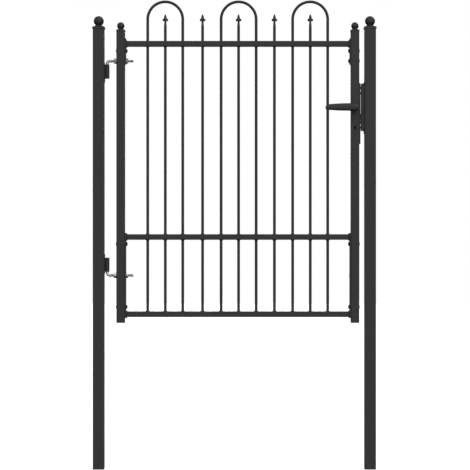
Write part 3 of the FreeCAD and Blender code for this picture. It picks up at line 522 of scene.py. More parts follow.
INSERT_HEIGHTS = [0.9835, 1.0165]
BOLT_HEIGHTS = {"hinge": [1.4790, 0.7960, 0.5735], "latch": [1.4790, 1.4435, 0.7960, 0.5735]}
ROD_HEIGHTS = [1.4432, 0.6850]
KEY_HEIGHT = 1.209
SPINDLE = Vector((middle_of("lever_spindle").x, 0, middle_of("lever_spindle").z))

post_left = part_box("hinge_post")[0].x                  # the outer faces of the posts
post_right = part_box("latch_post")[1].x
leaf_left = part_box("hinge_stile")[0].x                 # the outer faces of the stiles
leaf_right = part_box("latch_stile")[1].x
latch_stile_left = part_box("latch_stile")[0].x
plate_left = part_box("upper_hinge_end_plate")[1].x      # where the rails start
plate_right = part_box("upper_latch_end_plate")[0].x     # where they end


def upright_tube(name, node, wall, corner, body, cuts):
    """A post or stile. cuts are closed shapes taken out of it."""
    low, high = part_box(node)
    middle = (low + high) / 2
    tube = piece(name, square_tube((high.x - low.x) / 2, wall, corner, high.z - low.z), (middle.x, middle.y, low.z))
    for cut in cuts:
        boolean(tube, cut)
    finish_piece(tube, body, PAINT, node, edge=0.35 * MM)


def drill(points, along, radius, length, sides=28):
    """Straight holes as one cutting shape."""
    shape = Shape()
    for p in points:
        shape.add(loft([circle(radius, 0, sides), circle(radius, length, sides)]), p, along)
    return shape


def stack(part, x, heights, along=X, shape=None):
    """The same part at a list of heights, as one shape or added to one."""
    shape = shape or Shape()
    for z in heights:
        shape.add(part, (x, 0, z), along)
    return shape


def side_holes(x, heights, radius, length, along=X):
    """Holes along X at a list of heights, as one cutting shape that starts 1 mm before x."""
    return drill([(x - along.x * MM, 0, z) for z in heights], along, radius, length)


def keyhole_shape(depth):
    """A round eye with a slot below it, as a closed shape along Z of a depth; its own X is the gate's down."""
    eye, half_slot, drop, chamfer = 4 * MM, 2.1 * MM, 12.5 * MM, 0.8 * MM
    start = degrees(asin(half_slot / eye))
    outline = arc((0, 0), eye, start, 360 - start, 30)
    outline += [(drop - chamfer, -half_slot), (drop, -half_slot + chamfer), (drop, half_slot - chamfer),
                (drop - chamfer, half_slot)]
    return loft([[(a, b, w) for a, b in outline] for w in (0, depth)])


upright_tube("hinge_post_tube", "hinge_post", POST_WALL, 2.6 * MM, "posts",
             [side_holes(post_left, INSERT_HEIGHTS, BOLT_HOLE, 5 * MM)])
upright_tube("latch_post_tube", "latch_post", POST_WALL, 2.6 * MM, "posts",
             [side_holes(post_right, INSERT_HEIGHTS, BOLT_HOLE, 5 * MM, -X)])
upright_tube("hinge_stile_tube", "hinge_stile", STILE_WALL, 2.8 * MM, "leaf",
             [side_holes(leaf_left, BOLT_HEIGHTS["hinge"], BOLT_HOLE, 32 * MM),
              side_holes(leaf_left, ROD_HEIGHTS, ROD_HOLE, 32 * MM)])

through = 40 * MM                                      # cuts through the whole leaf, from front to back
keyhole = Shape().add(keyhole_shape(through), (SPINDLE.x, -through / 2, KEY_HEIGHT), Y, up=-Z)
case_low, case_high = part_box("lock_case")
case_slot = plate(10.3 * MM, (case_high.z - case_low.z) / 2 + 0.5 * MM, 6 * MM, 0.5 * MM, 2)
upright_tube("latch_stile_tube", "latch_stile", STILE_WALL, 2.8 * MM, "leaf",
             [side_holes(latch_stile_left, BOLT_HEIGHTS["latch"], BOLT_HOLE, 32 * MM),
              side_holes(latch_stile_left, ROD_HEIGHTS[1:], ROD_HOLE, 5 * MM),
              drill([(SPINDLE.x, -through / 2, SPINDLE.z)], Y, 7 * MM, through),
              keyhole,
              Shape().add(case_slot, (leaf_right - 5 * MM, 0, (case_low.z + case_high.z) / 2), X, up=Y)])


# ---- rails, end plates and other flat strips

HOOPS = ["left_hoop", "middle_hoop", "right_hoop"]
SPEARS = [f"spear_bar_{number}" for number in range(1, 6)]
bar_places = sorted([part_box(node)[0].x + BAR_RADIUS for node in HOOPS]
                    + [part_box(node)[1].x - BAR_RADIUS for node in HOOPS]
                    + [middle_of(node).x for node in SPEARS])


def rail_tube(node, pierced):
    """A rail between the stiles; a pierced one lets the bars through."""
    low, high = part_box(node)
    tube = piece(node + "_tube", square_tube((high.z - low.z) / 2, RAIL_WALL, 2.2 * MM, high.x - low.x),
                 (low.x, 0, (low.z + high.z) / 2), X)
    if pierced:
        boolean(tube, drill([(x, 0, low.z - MM) for x in bar_places], Z, BAR_RADIUS + 0.15 * MM, 22 * MM))
    finish_piece(tube, "leaf", PAINT, node, edge=0.2 * MM)


rail_tube("top_rail", True)
rail_tube("middle_rail", True)
rail_tube("bottom_rail", False)


def strip(name, node, corner, thick=None):
    """A flat piece that fills its node's box and faces along X."""
    low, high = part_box(node)
    part = plate((high.y - low.y) / 2, (high.z - low.z) / 2, thick or high.x - low.x, corner)
    return piece(name, part, (low.x, 0, (low.z + high.z) / 2), X, up=Y)


def end_plate(node, bolts, rods):
    """The strip that closes the rails' ends; bolts and rods are the heights of its holes."""
    obj = strip(node + "_strip", node, 1.2 * MM)
    for heights, radius in ((bolts, BOLT_HOLE), (rods, ROD_HOLE)):
        if heights:
            boolean(obj, side_holes(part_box(node)[0].x, heights, radius, 6 * MM))
    finish_piece(obj, "leaf", PAINT, node, edge=0.5 * MM)


end_plate("upper_hinge_end_plate", BOLT_HEIGHTS["hinge"][:1], ROD_HEIGHTS[:1])
end_plate("lower_hinge_end_plate", BOLT_HEIGHTS["hinge"][1:], ROD_HEIGHTS[1:])
end_plate("upper_latch_end_plate", BOLT_HEIGHTS["latch"][:2], [])
end_plate("lower_latch_end_plate", BOLT_HEIGHTS["latch"][2:], ROD_HEIGHTS[1:])


# ---- bars

for node in HOOPS:
    low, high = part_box(node)
    middle = (low.x + high.x) / 2
    reach = (high.x - low.x) / 2 - BAR_RADIUS
    spring = high.z - BAR_RADIUS - reach
    path = [Vector((middle - reach, 0, low.z + (spring - low.z) * k / 24)) for k in range(24)]
    path += [Vector((middle + a, 0, spring + b)) for a, b in arc((0, 0), reach, 180, 0, 48)]
    path += [Vector((middle + reach, 0, spring - (spring - low.z) * k / 24)) for k in range(1, 25)]
    finish_piece(piece(node + "_bar", loft(rod_rings(path, BAR_RADIUS, 24))), "leaf", PAINT, node, edge=0.3 * MM)


def spear_profile(foot, tip):
    """Half outline of a drawn bar: shaft, neck, flat round collar and full pointed head, as (radius, height)."""
    neck, neck_low, neck_high = 3.7 * MM, 1.5617, 1.5842
    outline = [(0, foot), (BAR_RADIUS, foot), (BAR_RADIUS, 1.0), (BAR_RADIUS, neck_low - 3 * MM)]
    for k in range(9):
        t = k / 8
        ease = t * t * (3 - 2 * t)
        outline.append((BAR_RADIUS + (neck - BAR_RADIUS) * ease, neck_low + (neck_high - neck_low) * t))
    # The collar is a thick disc with a small round on both rims.
    collar, half_thick, reach, rim = 1.5886, 3.75 * MM, 9.8 * MM, 0.6 * MM
    outline.append((neck, collar - half_thick))
    for side, start in ((-1, -90), (1, 0)):
        outline += arc((reach - rim, collar + (half_thick - rim) * side), rim, start, start + 90, 3)
    # The head: distance below the tip and radius, in millimetres.
    for below, radius in ((17.3, 5.5), (14.6, 5.3), (12, 4.8), (10, 4.42), (8, 3.95), (6, 3.35), (4.4, 2.75), (3, 2.05),
                          (1.9, 1.4), (1.0, 0.85), (0.35, 0.4), (0, 0)):
        outline.append((radius * MM, tip - below * MM))
    return outline


for node in SPEARS:
    low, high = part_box(node)
    bar = piece(node + "_turned", lathe(spear_profile(low.z, high.z), 24), ((low.x + high.x) / 2, 0, 0))
    finish_piece(bar, "leaf", PAINT, node, sharp=50)


# ---- ball caps

# The radius of the ball, the height of the lip, the height of the roof and half the width of its top.
POST_BALL = (18 * MM, 7.5 * MM, 4.8 * MM, 13 * MM)
STILE_BALL = (13.3 * MM, 5.3 * MM, 3.7 * MM, 10 * MM)


def ball_cap(node, tube_node, body, wall, sizes):
    """A cast cap: a plug in the tube, a thin lip, a hollow-sloped roof, a collar and a ball."""
    low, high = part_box(node)
    tube_low, tube_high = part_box(tube_node)
    middle = (low + high) / 2
    half = (high.x - low.x) / 2
    inside = (tube_high.x - tube_low.x) / 2 - wall - 0.1 * MM
    seat = tube_high.z
    ball, lip, roof, top = sizes
    corner, plug_corner = 2.2 * MM, 1.5 * MM
    roof_low, roof_high = seat + lip, seat + lip + roof
    neck = top * 0.86
    # Half width, corner radius and height of each ring.
    levels = [(inside - 0.8 * MM, plug_corner, low.z), (inside, plug_corner, low.z + MM), (inside, plug_corner, seat),
              (half - 0.7 * MM, corner, seat), (half - 0.2 * MM, corner, seat + 0.25 * MM),
              (half, corner, seat + 0.9 * MM), (half, corner, roof_low - 0.9 * MM),
              (half - 0.3 * MM, corner, roof_low - 0.25 * MM), (half - MM, corner, roof_low)]
    for t in (k / 8 for k in range(1, 8)):
        wide = (half - MM) + (top - (half - MM)) * t
        levels.append((wide, corner + (wide * 0.96 - corner) * t ** 1.5, roof_low + roof * t ** 1.1))
    levels += [(top, top * 0.985, roof_high), (top * 0.97, top * 0.955, roof_high + 0.5 * MM),
               (neck, neck * 0.985, roof_high + 0.9 * MM)]
    start = degrees(acos(min(1.0, neck / ball)))
    levels += [(r, r * 0.985, high.z - ball + z) for r, z in arc((0, 0), ball, -start, 89, 14)]
    cap = piece(node + "_cast", loft([square(*level, steps=8) for level in levels]), (middle.x, middle.y, 0))
    finish_piece(cap, body, PAINT, node, sharp=34)


for kind, body, wall, sizes in (("post", "posts", POST_WALL, POST_BALL), ("stile", "leaf", STILE_WALL, STILE_BALL)):
    for side in ("hinge", "latch"):
        ball_cap(f"{side}_{kind}_cap", f"{side}_{kind}", body, wall, sizes)


# ---- bolts, nuts, plugs, inserts

SIDES = {"hinge": (leaf_left, plate_left, X), "latch": (leaf_right, plate_right, -X)}


def frame_bolts():
    """Low mushroom heads on the stiles' outer faces, and their shanks."""
    shape = Shape()
    for side, (outer, inner, inward) in SIDES.items():
        length = abs(inner - outer) + 4.4 * MM
        shank, head = 4 * MM, 7.75 * MM
        profile = [(0, length), (shank - 0.6 * MM, length), (shank, length - 0.7 * MM)]
        profile += [(shank, 0.5 * MM), (shank, 0)] + in_mm((7.2, 0), (7.65, -0.15)) + [(head, -0.5 * MM)]
        profile += [(head * cos(a), -0.5 * MM - 1.8 * MM * sin(a))
                    for a in (radians(15 * k) for k in range(1, 6))] + [(0, -2.3 * MM)]
        stack(lathe(profile, 32), outer, BOLT_HEIGHTS[side], inward, shape)
    finish_piece(new_object("frame_bolts_turned", shape), "leaf", PAINT, "frame_bolts")


def cap_nuts():
    """Flanged hexagon nuts with a low closed dome, on the plates' inner faces."""
    across, height, dome_height, dome = 13 * MM, 3.4 * MM, 1.9 * MM, 6.05 * MM
    turns = {"hinge": (17, 41, 8), "latch": (30, 54, 21, 42)}      # in degrees: no two nuts stand alike
    flange = in_mm((4.05, 0), (7.9, 0), (8.25, 0.3), (8.25, 0.9), (7.95, 1.35), (7.6, 1.6))
    rings = [circle(r, z, 36) for r, z in flange]
    rings += [[(x, y, z if z > 0 else 1.62 * MM) for x, y, z in ring]
              for ring in hexagon(across, height, chamfer_low=False)]
    for k in range(1, 9):
        a = radians(10 + 78 * k / 8)
        rings.append(circle(dome * cos(a), height + dome_height * sin(a), 36))
    shape = Shape()
    for side, (_outer, inner, inward) in SIDES.items():
        for turn, z in zip(map(radians, turns[side]), BOLT_HEIGHTS[side]):
            shape.add(loft(rings), (inner, 0, z), inward, up=Vector((0, sin(turn), cos(turn))))
    finish_piece(new_object("cap_nuts_formed", shape), "leaf", BLACK, "cap_nuts", sharp=28)


frame_bolts()
cap_nuts()

plug_profile = in_mm((0, -1.2), (3, -1.15), (5.4, -0.85), (6.5, -0.35), (6.75, 0), (5.2, 0), (5.2, 3.6), (5.35, 4.4),
                     (4.6, 6.6), (3.6, 8), (0, 8))
finish_piece(piece("hole_plug_moulded", lathe(plug_profile, 32), (plate_right, 0, ROD_HEIGHTS[1]), X),
             "leaf", PLASTIC, "hole_plug", sharp=45)


def bottom_plugs():
    """Ribbed plugs pressed into the stiles' lower ends."""
    shape = Shape()
    for low, high in (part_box("hinge_stile"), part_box("latch_stile")):
        middle = (low.x + high.x) / 2
        half = (high.x - low.x) / 2
        inner = half - STILE_WALL - 0.1 * MM
        z, corner = low.z, 1.2 * MM
        # Half width, corner radius and height of each ring.
        levels = [(half - 0.8 * MM, 2.2 * MM, z - 2 * MM), (half - 0.25 * MM, 2.6 * MM, z - 1.75 * MM),
                  (half, 2.8 * MM, z - 1.3 * MM), (half, 2.8 * MM, z - 0.02 * MM), (inner - 0.4 * MM, corner, z)]
        for rib in (z + (1.6 + 3.0 * k) * MM for k in range(3)):
            levels += [(inner - 0.6 * MM, corner, rib), (inner, corner, rib + 0.5 * MM),
                       (inner - 0.1 * MM, corner, rib + MM), (inner - 0.6 * MM, corner, rib + 1.5 * MM)]
        levels.append((inner - 1.6 * MM, corner, z + 11 * MM))
        shape.add(loft([square(*level) for level in levels]), (middle, 0, 0))
    finish_piece(new_object("stile_bottom_plugs_moulded", shape), "leaf", PLASTIC, "stile_bottom_plugs", sharp=40)


bottom_plugs()


def inserts(node, face, outward):
    """Two blind-rivet nuts: a thin flange, a sleeve, the bulge behind the wall and a threaded bore."""
    profile = in_mm((2.9, 1.2), (6.1, 1.2), (6.45, 0.9), (6.5, 0.3), (6.4, 0), (4.45, 0), (4.45, -2.1), (5.9, -2.5),
                    (6.1, -3.4), (5.6, -4.4), (4.45, -4.8), (4.45, -12.7), (4.1, -13), (2.9, -13))
    profile += in_mm(*((2.75 if k % 2 else 2.5, -12.4 + 13.0 * k / 39) for k in range(40)))
    shape = stack(lathe(profile, 28, loop=True), face, INSERT_HEIGHTS, outward)
    finish_piece(new_object(node + "_turned", shape), "posts", PAINT, node, sharp=35)


inserts("hinge_post_threaded_inserts", post_left, -X)
inserts("latch_post_threaded_inserts", post_right, X)


# ---- hinges

BARREL_RADIUS, BARREL_BORE, WEB_HALF = 8 * MM, 5.05 * MM, 4 * MM


def hinge_plate(node, barrel_node):
    """The plate on the post with the web that carries the barrel, one welded part."""
    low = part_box(node)[0]
    barrel_low, barrel_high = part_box(barrel_node)
    axis_x = (barrel_low.x + barrel_high.x) / 2
    obj = strip(node + "_formed", node, 2 * MM, thick=2 * MM)
    web = plate(WEB_HALF, (barrel_high.z - barrel_low.z) / 2 - MM, 4 * MM, 0.5 * MM)
    boolean(obj, Shape().add(web, (low.x + MM, 0, (barrel_low.z + barrel_high.z) / 2), X, up=Y), "UNION")
    boolean(obj, drill([(axis_x, 0, barrel_low.z)], Z, BARREL_RADIUS, barrel_high.z - barrel_low.z, 40))
    finish_piece(obj, "posts", PAINT, node, edge=0.5 * MM)


def barrel(node):
    """A turned sleeve with chamfered ends, in which the hinge pin turns."""
    low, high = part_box(node)
    centre = (low + high) / 2
    length = high.z - low.z
    radius, bore, chamfer = BARREL_RADIUS, BARREL_BORE, 0.6 * MM
    profile = [(bore + chamfer, 0), (radius - chamfer, 0), (radius, chamfer), (radius, length - chamfer),
               (radius - chamfer, length), (bore + chamfer, length), (bore, length - chamfer), (bore, chamfer)]
    obj = piece(node + "_turned", lathe(profile, 40, loop=True), (centre.x, centre.y, low.z))
    finish_piece(obj, "posts", PAINT, node, sharp=30)


for level in ("upper", "lower"):
    hinge_plate(f"{level}_hinge_plate", f"{level}_hinge_barrel")
    barrel(f"{level}_hinge_barrel")


def hinge_rod(node, upright):
    """A bent rod: a plain pin in the barrel, a bend, and a leg with a rolled thread to its end.

    upright is 1 where the pin stands up from the leg, -1 where it hangs.
    """
    low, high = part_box(node)
    radius, bend, sides = 5 * MM, 10 * MM, 24
    leg_z = low.z + radius if upright > 0 else high.z - radius
    axis_x = low.x + radius
    pin_tip = high.z if upright > 0 else low.z
    pin = abs(pin_tip - leg_z) - bend
    thread_start = axis_x + bend + 3 * MM
    path = [Vector((axis_x, 0, pin_tip - upright * 0.001 * MM))]
    path += [Vector((axis_x, 0, leg_z + upright * (bend + pin * (1 - k / 6)))) for k in range(1, 6)]
    path += [Vector((axis_x + bend + a, 0, leg_z + upright * (bend + b))) for a, b in arc((0, 0), bend, 180, 270, 14)]
    path.append(Vector((thread_start, 0, leg_z)))
    rings = rod_rings(path, radius, sides)
    # The pin's tip is chamfered: a smaller end ring, and a full one just before it.
    chamfer = 0.9 * MM
    rings[0] = rod_rings(path[:2], radius - chamfer, sides)[0]
    shoulder = Vector((axis_x, 0, pin_tip - upright * chamfer))
    rings.insert(1, [shoulder + Vector((q.x - axis_x, q.y, 0)).normalized() * radius for q in rings[0]])
    length = high.x - thread_start
    pitch, depth, per_turn = 1.5 * MM, 0.85 * MM, 6
    count = int(length / pitch * per_turn)
    for w in (length * i / count for i in range(1, count + 1)):
        radii = []
        for j in range(sides):
            # Across each pitch: a flat crest in the middle, sloping to the root at both ends.
            phase = (w / pitch - j / sides) % 1.0
            crest = min(1.0, max(0.0, 1.45 - abs(phase - 0.5) * 3.4))
            r = radius - depth * (1 - crest) * min(1.0, w / (2 * pitch))
            radii.append(min(r, radius - max(0.0, w - (length - 1.3 * MM)) * 0.9))
        rings.append(ring_about(Vector((thread_start + w, 0, leg_z)), X.cross(Y), radii))
    finish_piece(piece(node + "_rolled", loft(rings)), "leaf", ZINC, node, sharp=60)


hinge_rod("upper_hinge_bolt", -1)
hinge_rod("lower_hinge_bolt", 1)


def hinge_nuts(node):
    """Hexagon nuts on the rods, each turned a little differently, with a counterbored thread mouth."""
    low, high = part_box(node)
    thick = high.x - low.x
    bore, mouth, counterbore = 5.06 * MM, 5.6 * MM, 0.6 * MM
    rings = [circle(bore, counterbore, 36), circle(mouth, 0, 36), *hexagon(17 * MM, thick), circle(mouth, thick, 36),
             circle(bore, thick - counterbore, 36)]
    shape = Shape()
    for z, turn in zip(ROD_HEIGHTS, (0.21, 0.83)):
        shape.add(loft(rings, loop=True), (low.x, 0, z), X, up=Vector((0, sin(turn), cos(turn))))
    finish_piece(new_object(node + "_formed", shape), "leaf", ZINC, node, sharp=25)


hinge_nuts("hinge_nuts")
hinge_nuts("hinge_thin_nuts")

washer_profile = in_mm((5.25, 0.2), (5.45, 0), (9.6, 0), (10, 0.4), (10, 1.7), (9.7, 2), (5.25, 2))
washers = Shape()
for x in (leaf_left - 2 * MM, plate_left):
    stack(lathe(washer_profile, 36, loop=True), x, ROD_HEIGHTS, shape=washers)
finish_piece(new_object("hinge_washers_stamped", washers), "leaf", ZINC, "hinge_washers", sharp=30)


# ---- lock: faceplate, lever, knob, strike

def faceplate():
    """The lock's front plate, with a window for each bolt and two countersunk holes."""
    low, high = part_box("lock_faceplate")
    obj = strip("lock_faceplate_milled", "lock_faceplate", 3 * MM)
    for bolt in ("latch_bolt", "dead_bolt"):
        bolt_low, bolt_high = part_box(bolt)
        window = plate(6.3 * MM, (bolt_high.z - bolt_low.z) / 2 + 0.3 * MM, 6 * MM, 0.6 * MM, 2)
        cut_out(obj, window, (low.x - MM, 0, (bolt_low.z + bolt_high.z) / 2), X, up=Y)
    sink = lathe(in_mm((0, -6), (2.1, -6), (2.1, -2.2), (4.15, -0.1), (4.15, 2), (0, 2)), 28)
    for z in (low.z + 8 * MM, high.z - 8 * MM):
        cut_out(obj, sink, (high.x, 0, z), X)
    finish_piece(obj, "leaf", PAINT, "lock_faceplate", edge=0.35 * MM)


faceplate()

LEVER_ARM = (
    # distance from the spindle, half height, half thickness, drop of the middle, in millimetres
    (-11.5, 4.5, 3.0, 0), (-10.6, 7.4, 4.8, 0), (-8.5, 10.0, 6.2, 0), (-5, 12.2, 7.2, 0), (0, 13.3, 7.6, 0),
    (6, 13.5, 7.6, 0), (12, 13.5, 7.3, 0), (18, 13.45, 6.9, 0), (30, 13.4, 6.5, 0), (45, 13.1, 6.3, 0),
    (60, 12.6, 6.1, 0), (76, 11.7, 5.9, 0.1), (90, 10.7, 5.6, 0.25), (98, 9.5, 5.2, 0.7), (102.5, 8.2, 4.5, 1.3),
    (105.5, 5.9, 3.3, 2.0), (107, 2.8, 1.7, 2.6))
LEAF_HALF = 15 * MM                                    # from the leaf's middle plane to its faces


def soften(obj, size, rounds):
    """Joins a piece's parts into one skin with soft inner corners, as a casting has."""
    modify(obj, "cast", "REMESH", mode="VOXEL", voxel_size=size)
    modify(obj, "soft", "SMOOTH", factor=0.5, iterations=rounds)
    apply_all(obj)


def spindle_holes(obj, sign, screw_y):
    """The square socket and the grub screw's hole."""
    boolean(obj, drill([(SPINDLE.x, screw_y, SPINDLE.z - 4.2 * MM)], -Z, 2.55 * MM, 12 * MM, 24))
    socket = loft([square(4.05 * MM, 0.4 * MM, w, 2) for w in (-2 * MM, 27.5 * MM)])
    cut_out(obj, socket, (SPINDLE.x, LEAF_HALF * sign, SPINDLE.z), Y * sign, up=X)


def lever():
    """A cast lever: an oval arm that tapers to a round tip, and a neck that meets it in a soft fillet."""
    reach = SPINDLE.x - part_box("front_lever")[0].x
    full = LEVER_ARM[-1][0]
    arm_y, oval = -54 * MM, 0.82                       # an oval power below 1 makes the section squarer
    rings = []
    for along, half_height, half_thick, drop in LEVER_ARM:
        ring = []
        for j in range(32):
            c, s = cos(tau * j / 32), sin(tau * j / 32)
            ring.append(Vector((SPINDLE.x - reach * along / full,
                                arm_y + copysign(abs(c) ** oval, c) * half_thick * MM,
                                SPINDLE.z + (copysign(abs(s) ** oval, s) * half_height - drop) * MM)))
        rings.append(ring)
    obj = piece("front_lever_cast", loft(rings))
    neck = in_mm((0, 0.3), (9.4, 0.3), (10, 0.9), (10, 24), (10.4, 28), (11.4, 31.5), (12.4, 35), (11, 39), (0, 40))
    boolean(obj, Shape().add(lathe(neck, 40), (SPINDLE.x, -LEAF_HALF, SPINDLE.z), -Y), "UNION")
    soften(obj, 0.9 * MM, 9)
    spindle_holes(obj, -1, -29 * MM)
    finish_piece(obj, "handle", PAINT, "front_lever", sharp=55)


def knob():
    """The round knob behind the gate: a turned neck and a softly domed head."""
    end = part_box("back_knob")[1].y - LEAF_HALF
    profile = in_mm((0, 0.3), (8.5, 0.3), (9, 0.8))
    # The head: radius, and distance before its end.
    profile += [(radius, end - before) for radius, before in in_mm(
        (9, 26), (9.3, 24.5), (10.3, 23), (11.6, 21.3), (12.3, 19), (12.5, 16), (12.5, 6), (12.2, 3.6), (11.2, 1.8),
        (9.2, 0.7), (6, 0.2), (0, 0))]
    obj = piece("back_knob_turned", lathe(profile, 48), (SPINDLE.x, LEAF_HALF, SPINDLE.z), Y)
    spindle_holes(obj, 1, 23 * MM)
    finish_piece(obj, "handle", PAINT, "back_knob", edge=0.3 * MM, sharp=40)


lever()
knob()


def strike():
    """The folded strike box with a pocket for each bolt, its base plate, and three raised socket screws."""
    low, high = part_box("strike_box")
    half_y, half_z = (high.y - low.y) / 2, (high.z - low.z) / 2
    depth = high.x - low.x
    wall = 2 * MM

    def outer(z, inset=0.0):
        return rounded(half_y - inset, half_z - inset, 2.2 * MM, z)

    def inner(z):
        return rounded(half_y - wall, half_z - wall, 0.9 * MM, z)

    # One closed skin: the front, the outside, the rim of the open back, the inside and the front wall's inner face.
    shell = loft([outer(0, 1.4 * MM), outer(0.4 * MM, 0.4 * MM), outer(1.4 * MM), outer(depth), inner(depth),
                  inner(wall)])
    box = piece("strike_box_folded", shell, (low.x, 0, (low.z + high.z) / 2), X, up=Y)
    for z_low, z_high in ((1.2352, 1.2575), (1.2195, 1.2352)):
        pocket = plate(7 * MM, (z_high - z_low) / 2, 5 * MM, 0.5 * MM, 2)
        cut_out(box, pocket, (low.x - MM, 0, (z_low + z_high) / 2), X, up=Y)
    screw_heights = [1.2080, 1.3290, 1.3485]
    boolean(box, side_holes(low.x, screw_heights, SCREW_HOLE, 5 * MM))
    finish_piece(box, "posts", PAINT, "strike_box", edge=0.3 * MM)
    base = strip("strike_base_plate_cut", "strike_base_plate", 2.5 * MM)
    boolean(base, side_holes(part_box("strike_base_plate")[0].x, screw_heights, SCREW_HOLE, 5 * MM))
    finish_piece(base, "posts", PAINT, "strike_base_plate", edge=0.4 * MM)
    profile = in_mm((0, 16), (2.2, 16), (2.2, 0), (4.2, 0), (4.4, -0.2), (4.3, -0.7), (4, -1.1), (3.5, -1.2),
                    (1.75, -1.2), (1.6, -1.05), (1.6, 1), (0, 1.2))
    screws = stack(lathe(profile, 28), low.x, screw_heights)
    finish_piece(new_object("strike_screws_turned", screws), "posts", BLACK, "strike_screws", sharp=32)


strike()


# ---- weld beads

def leaf_welds():
    """Fillets round the rails' ends, round each bar at the middle and bottom rails, and thin ones at the top rail."""
    shape = Shape()
    seed = 1
    for node in ("top_rail", "middle_rail", "bottom_rail"):
        low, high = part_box(node)
        for x, axis in ((low.x, X), (high.x, -X)):
            shape.add(frame_bead((x, 0, (low.z + high.z) / 2), 10 * MM, 10 * MM, 2.2 * MM, axis, 4.6 * MM, seed))
            seed += 1
    top_low, top_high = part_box("top_rail")
    mid_low, mid_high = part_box("middle_rail")
    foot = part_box("bottom_rail")[1]
    for x in bar_places:
        for face, axis, leg in ((top_high, Z, 1.3 * MM), (top_low, -Z, 1.5 * MM), (mid_high, Z, 2.6 * MM),
                                (mid_low, -Z, 2.6 * MM), (foot, Z, 3.0 * MM)):
            shape.add(ring_bead((x, 0, face.z), BAR_RADIUS, axis, leg, seed))
            seed += 1
    finish_piece(new_object("leaf_weld_beads", shape), "leaf", PAINT, sharp=70)


def hinge_welds():
    """Beads round the hinge plates on the post, along the web, and between web and barrel."""
    shape = Shape()
    seed = 200
    # How far the web's edge on the barrel lies from the barrel's axis.
    reach = sqrt((BARREL_RADIUS / MM) ** 2 - (WEB_HALF / MM) ** 2) * MM
    for level in ("upper", "lower"):
        low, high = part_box(f"{level}_hinge_plate")
        barrel_low, barrel_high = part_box(f"{level}_hinge_barrel")
        axis_x = (barrel_low.x + barrel_high.x) / 2
        shape.add(frame_bead((low.x, 0, (low.z + high.z) / 2), (high.y - low.y) / 2, (high.z - low.z) / 2, 2 * MM, X,
                             2.0 * MM, seed))
        for side in (-1, 1):
            corner = Vector((low.x + 2 * MM, WEB_HALF * side, 0))
            shape.add(line_bead(corner + Z * (barrel_low.z + 2 * MM), corner + Z * (barrel_high.z - 2 * MM),
                                Y * side, X, 2.4 * MM, seed + 1 + side))
            contact = Vector((axis_x - reach, WEB_HALF * side, 0))
            out = Vector((WEB_HALF / BARREL_RADIUS, reach / BARREL_RADIUS * side, 0)).normalized()
            shape.add(line_bead(contact + Z * (barrel_low.z + MM), contact + Z * (barrel_high.z - MM),
                                out, -X, 2.2 * MM, seed + 4 + side))
        seed += 10
    finish_piece(new_object("hinge_weld_beads", shape), "posts", PAINT, sharp=70)


leaf_welds()
hinge_welds()


# ---- CAD nodes that stay

finishes = {slot_name: material for material, slot_name in (PAINT, ZINC, BLACK, PLASTIC, STEEL)}
slots = {part["node"]: part["material_slot"] for part in frame["record"]["subparts"]}
for node, obj in frame["nodes"].items():
    if obj.hide_render:
        continue
    obj.data.materials.clear()
    # The ward plate takes the near-black finish that paints the keyhole's shade.
    obj.data.materials.append(WARD_AND_KEYHOLE_SHADE if node == "lock_ward_plate" else finishes[slots[node]])
    modify(obj, "join", "WELD", merge_threshold=1e-6)
    modify(obj, "flats", "DECIMATE", decimate_type="DISSOLVE", angle_limit=radians(1))
    modify(obj, "edges", "BEVEL", width=0.25 * MM, segments=2, angle_limit=radians(40))
    modify(obj, "normals", "WEIGHTED_NORMAL")


# ---- floor, light and camera

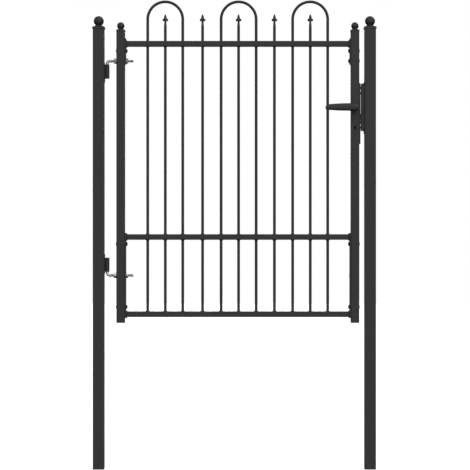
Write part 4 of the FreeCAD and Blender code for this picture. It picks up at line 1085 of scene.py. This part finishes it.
def pale_floor():
    """A wide pale floor just below the posts' feet; it throws no light on the gate."""
    bpy.ops.mesh.primitive_grid_add(x_subdivisions=2, y_subdivisions=2, size=30, location=(0, 0, -0.0005))
    floor = bpy.context.object
    floor.name = "floor"
    m = Nodes("floor_white")
    m.shade("Base Color", m.two_tone(m.noise(3, 2), (0.86, 0.86, 0.86), (0.90, 0.90, 0.90)))
    m.shade("Roughness", 0.9)
    m.shade("Emission Color", (1, 1, 1, 1))
    m.shade("Emission Strength", 0.62)
    floor.data.materials.append(m.material)
    floor.visible_diffuse = False
    floor.visible_glossy = False


# What lights the gate: direction, cosine to it where the light starts, cosine where it is full, level.
LOBES = (((0, 0, 1), -0.40, 0.05, 0.17),
         ((0.12, -0.80, 0.58), 0.0, 0.75, 0.60),
         ((0, 1, 0), 0.90, 0.97, 0.7))


def studio_world():
    """A white surround for the camera; for the gate, soft light from above, from the front and from right behind."""
    world = bpy.data.worlds.new("studio")
    bpy.context.scene.world = world
    world.use_nodes = True
    world.node_tree.nodes.clear()
    w = Tree(world.node_tree)
    place = w.add("ShaderNodeTexCoord").outputs["Generated"]
    total = 0.0
    for direction, low, high, level in LOBES:
        nearness = w.dot(place, Vector(direction).normalized())
        total = w.math("ADD", total, w.remap(nearness, 0.0, level, low, high, interpolation_type="SMOOTHSTEP"))
    light, white = (w.add("ShaderNodeBackground", {"Color": (1, 1, 1, 1), "Strength": strength}).outputs["Background"]
                    for strength in (total, 1.0))
    seen = w.add("ShaderNodeLightPath").outputs["Is Camera Ray"]
    shown = w.add("ShaderNodeMixShader", {0: seen, 1: light, 2: white}).outputs["Shader"]
    w.add("ShaderNodeOutputWorld", {"Surface": shown})


def sun(name, toward, strength, soft):
    """A distant soft light that comes from a direction."""
    data = bpy.data.lights.new(name, "SUN")
    data.energy = strength
    data.angle = radians(soft)
    lamp = in_scene(name, data)
    lamp.location = Vector(toward) * 5
    lamp.rotation_euler = (-Vector(toward)).to_track_quat("-Z", "Y").to_euler()


pale_floor()
studio_world()
sun("key", (0.30, -0.80, 0.50), 0.35, 25)
sun("rear", (0.51, 0.60, 0.61), 0.9, 12)
sun("back", (0, 0.96, 0.28), 0.5, 20)

camera = bpy.data.cameras.new("camera")
camera.sensor_width, camera.lens = 36, 134.17
camera.clip_start, camera.clip_end = 0.1, 100
view = in_scene("camera", camera)
view.location = (0.0022, -6.2, 0.8277)
view.rotation_euler = (pi / 2, 0, 0)
bpy.context.scene.camera = view
bpy.context.scene.view_settings.view_transform = "Standard"

bpy.context.view_layer.update()
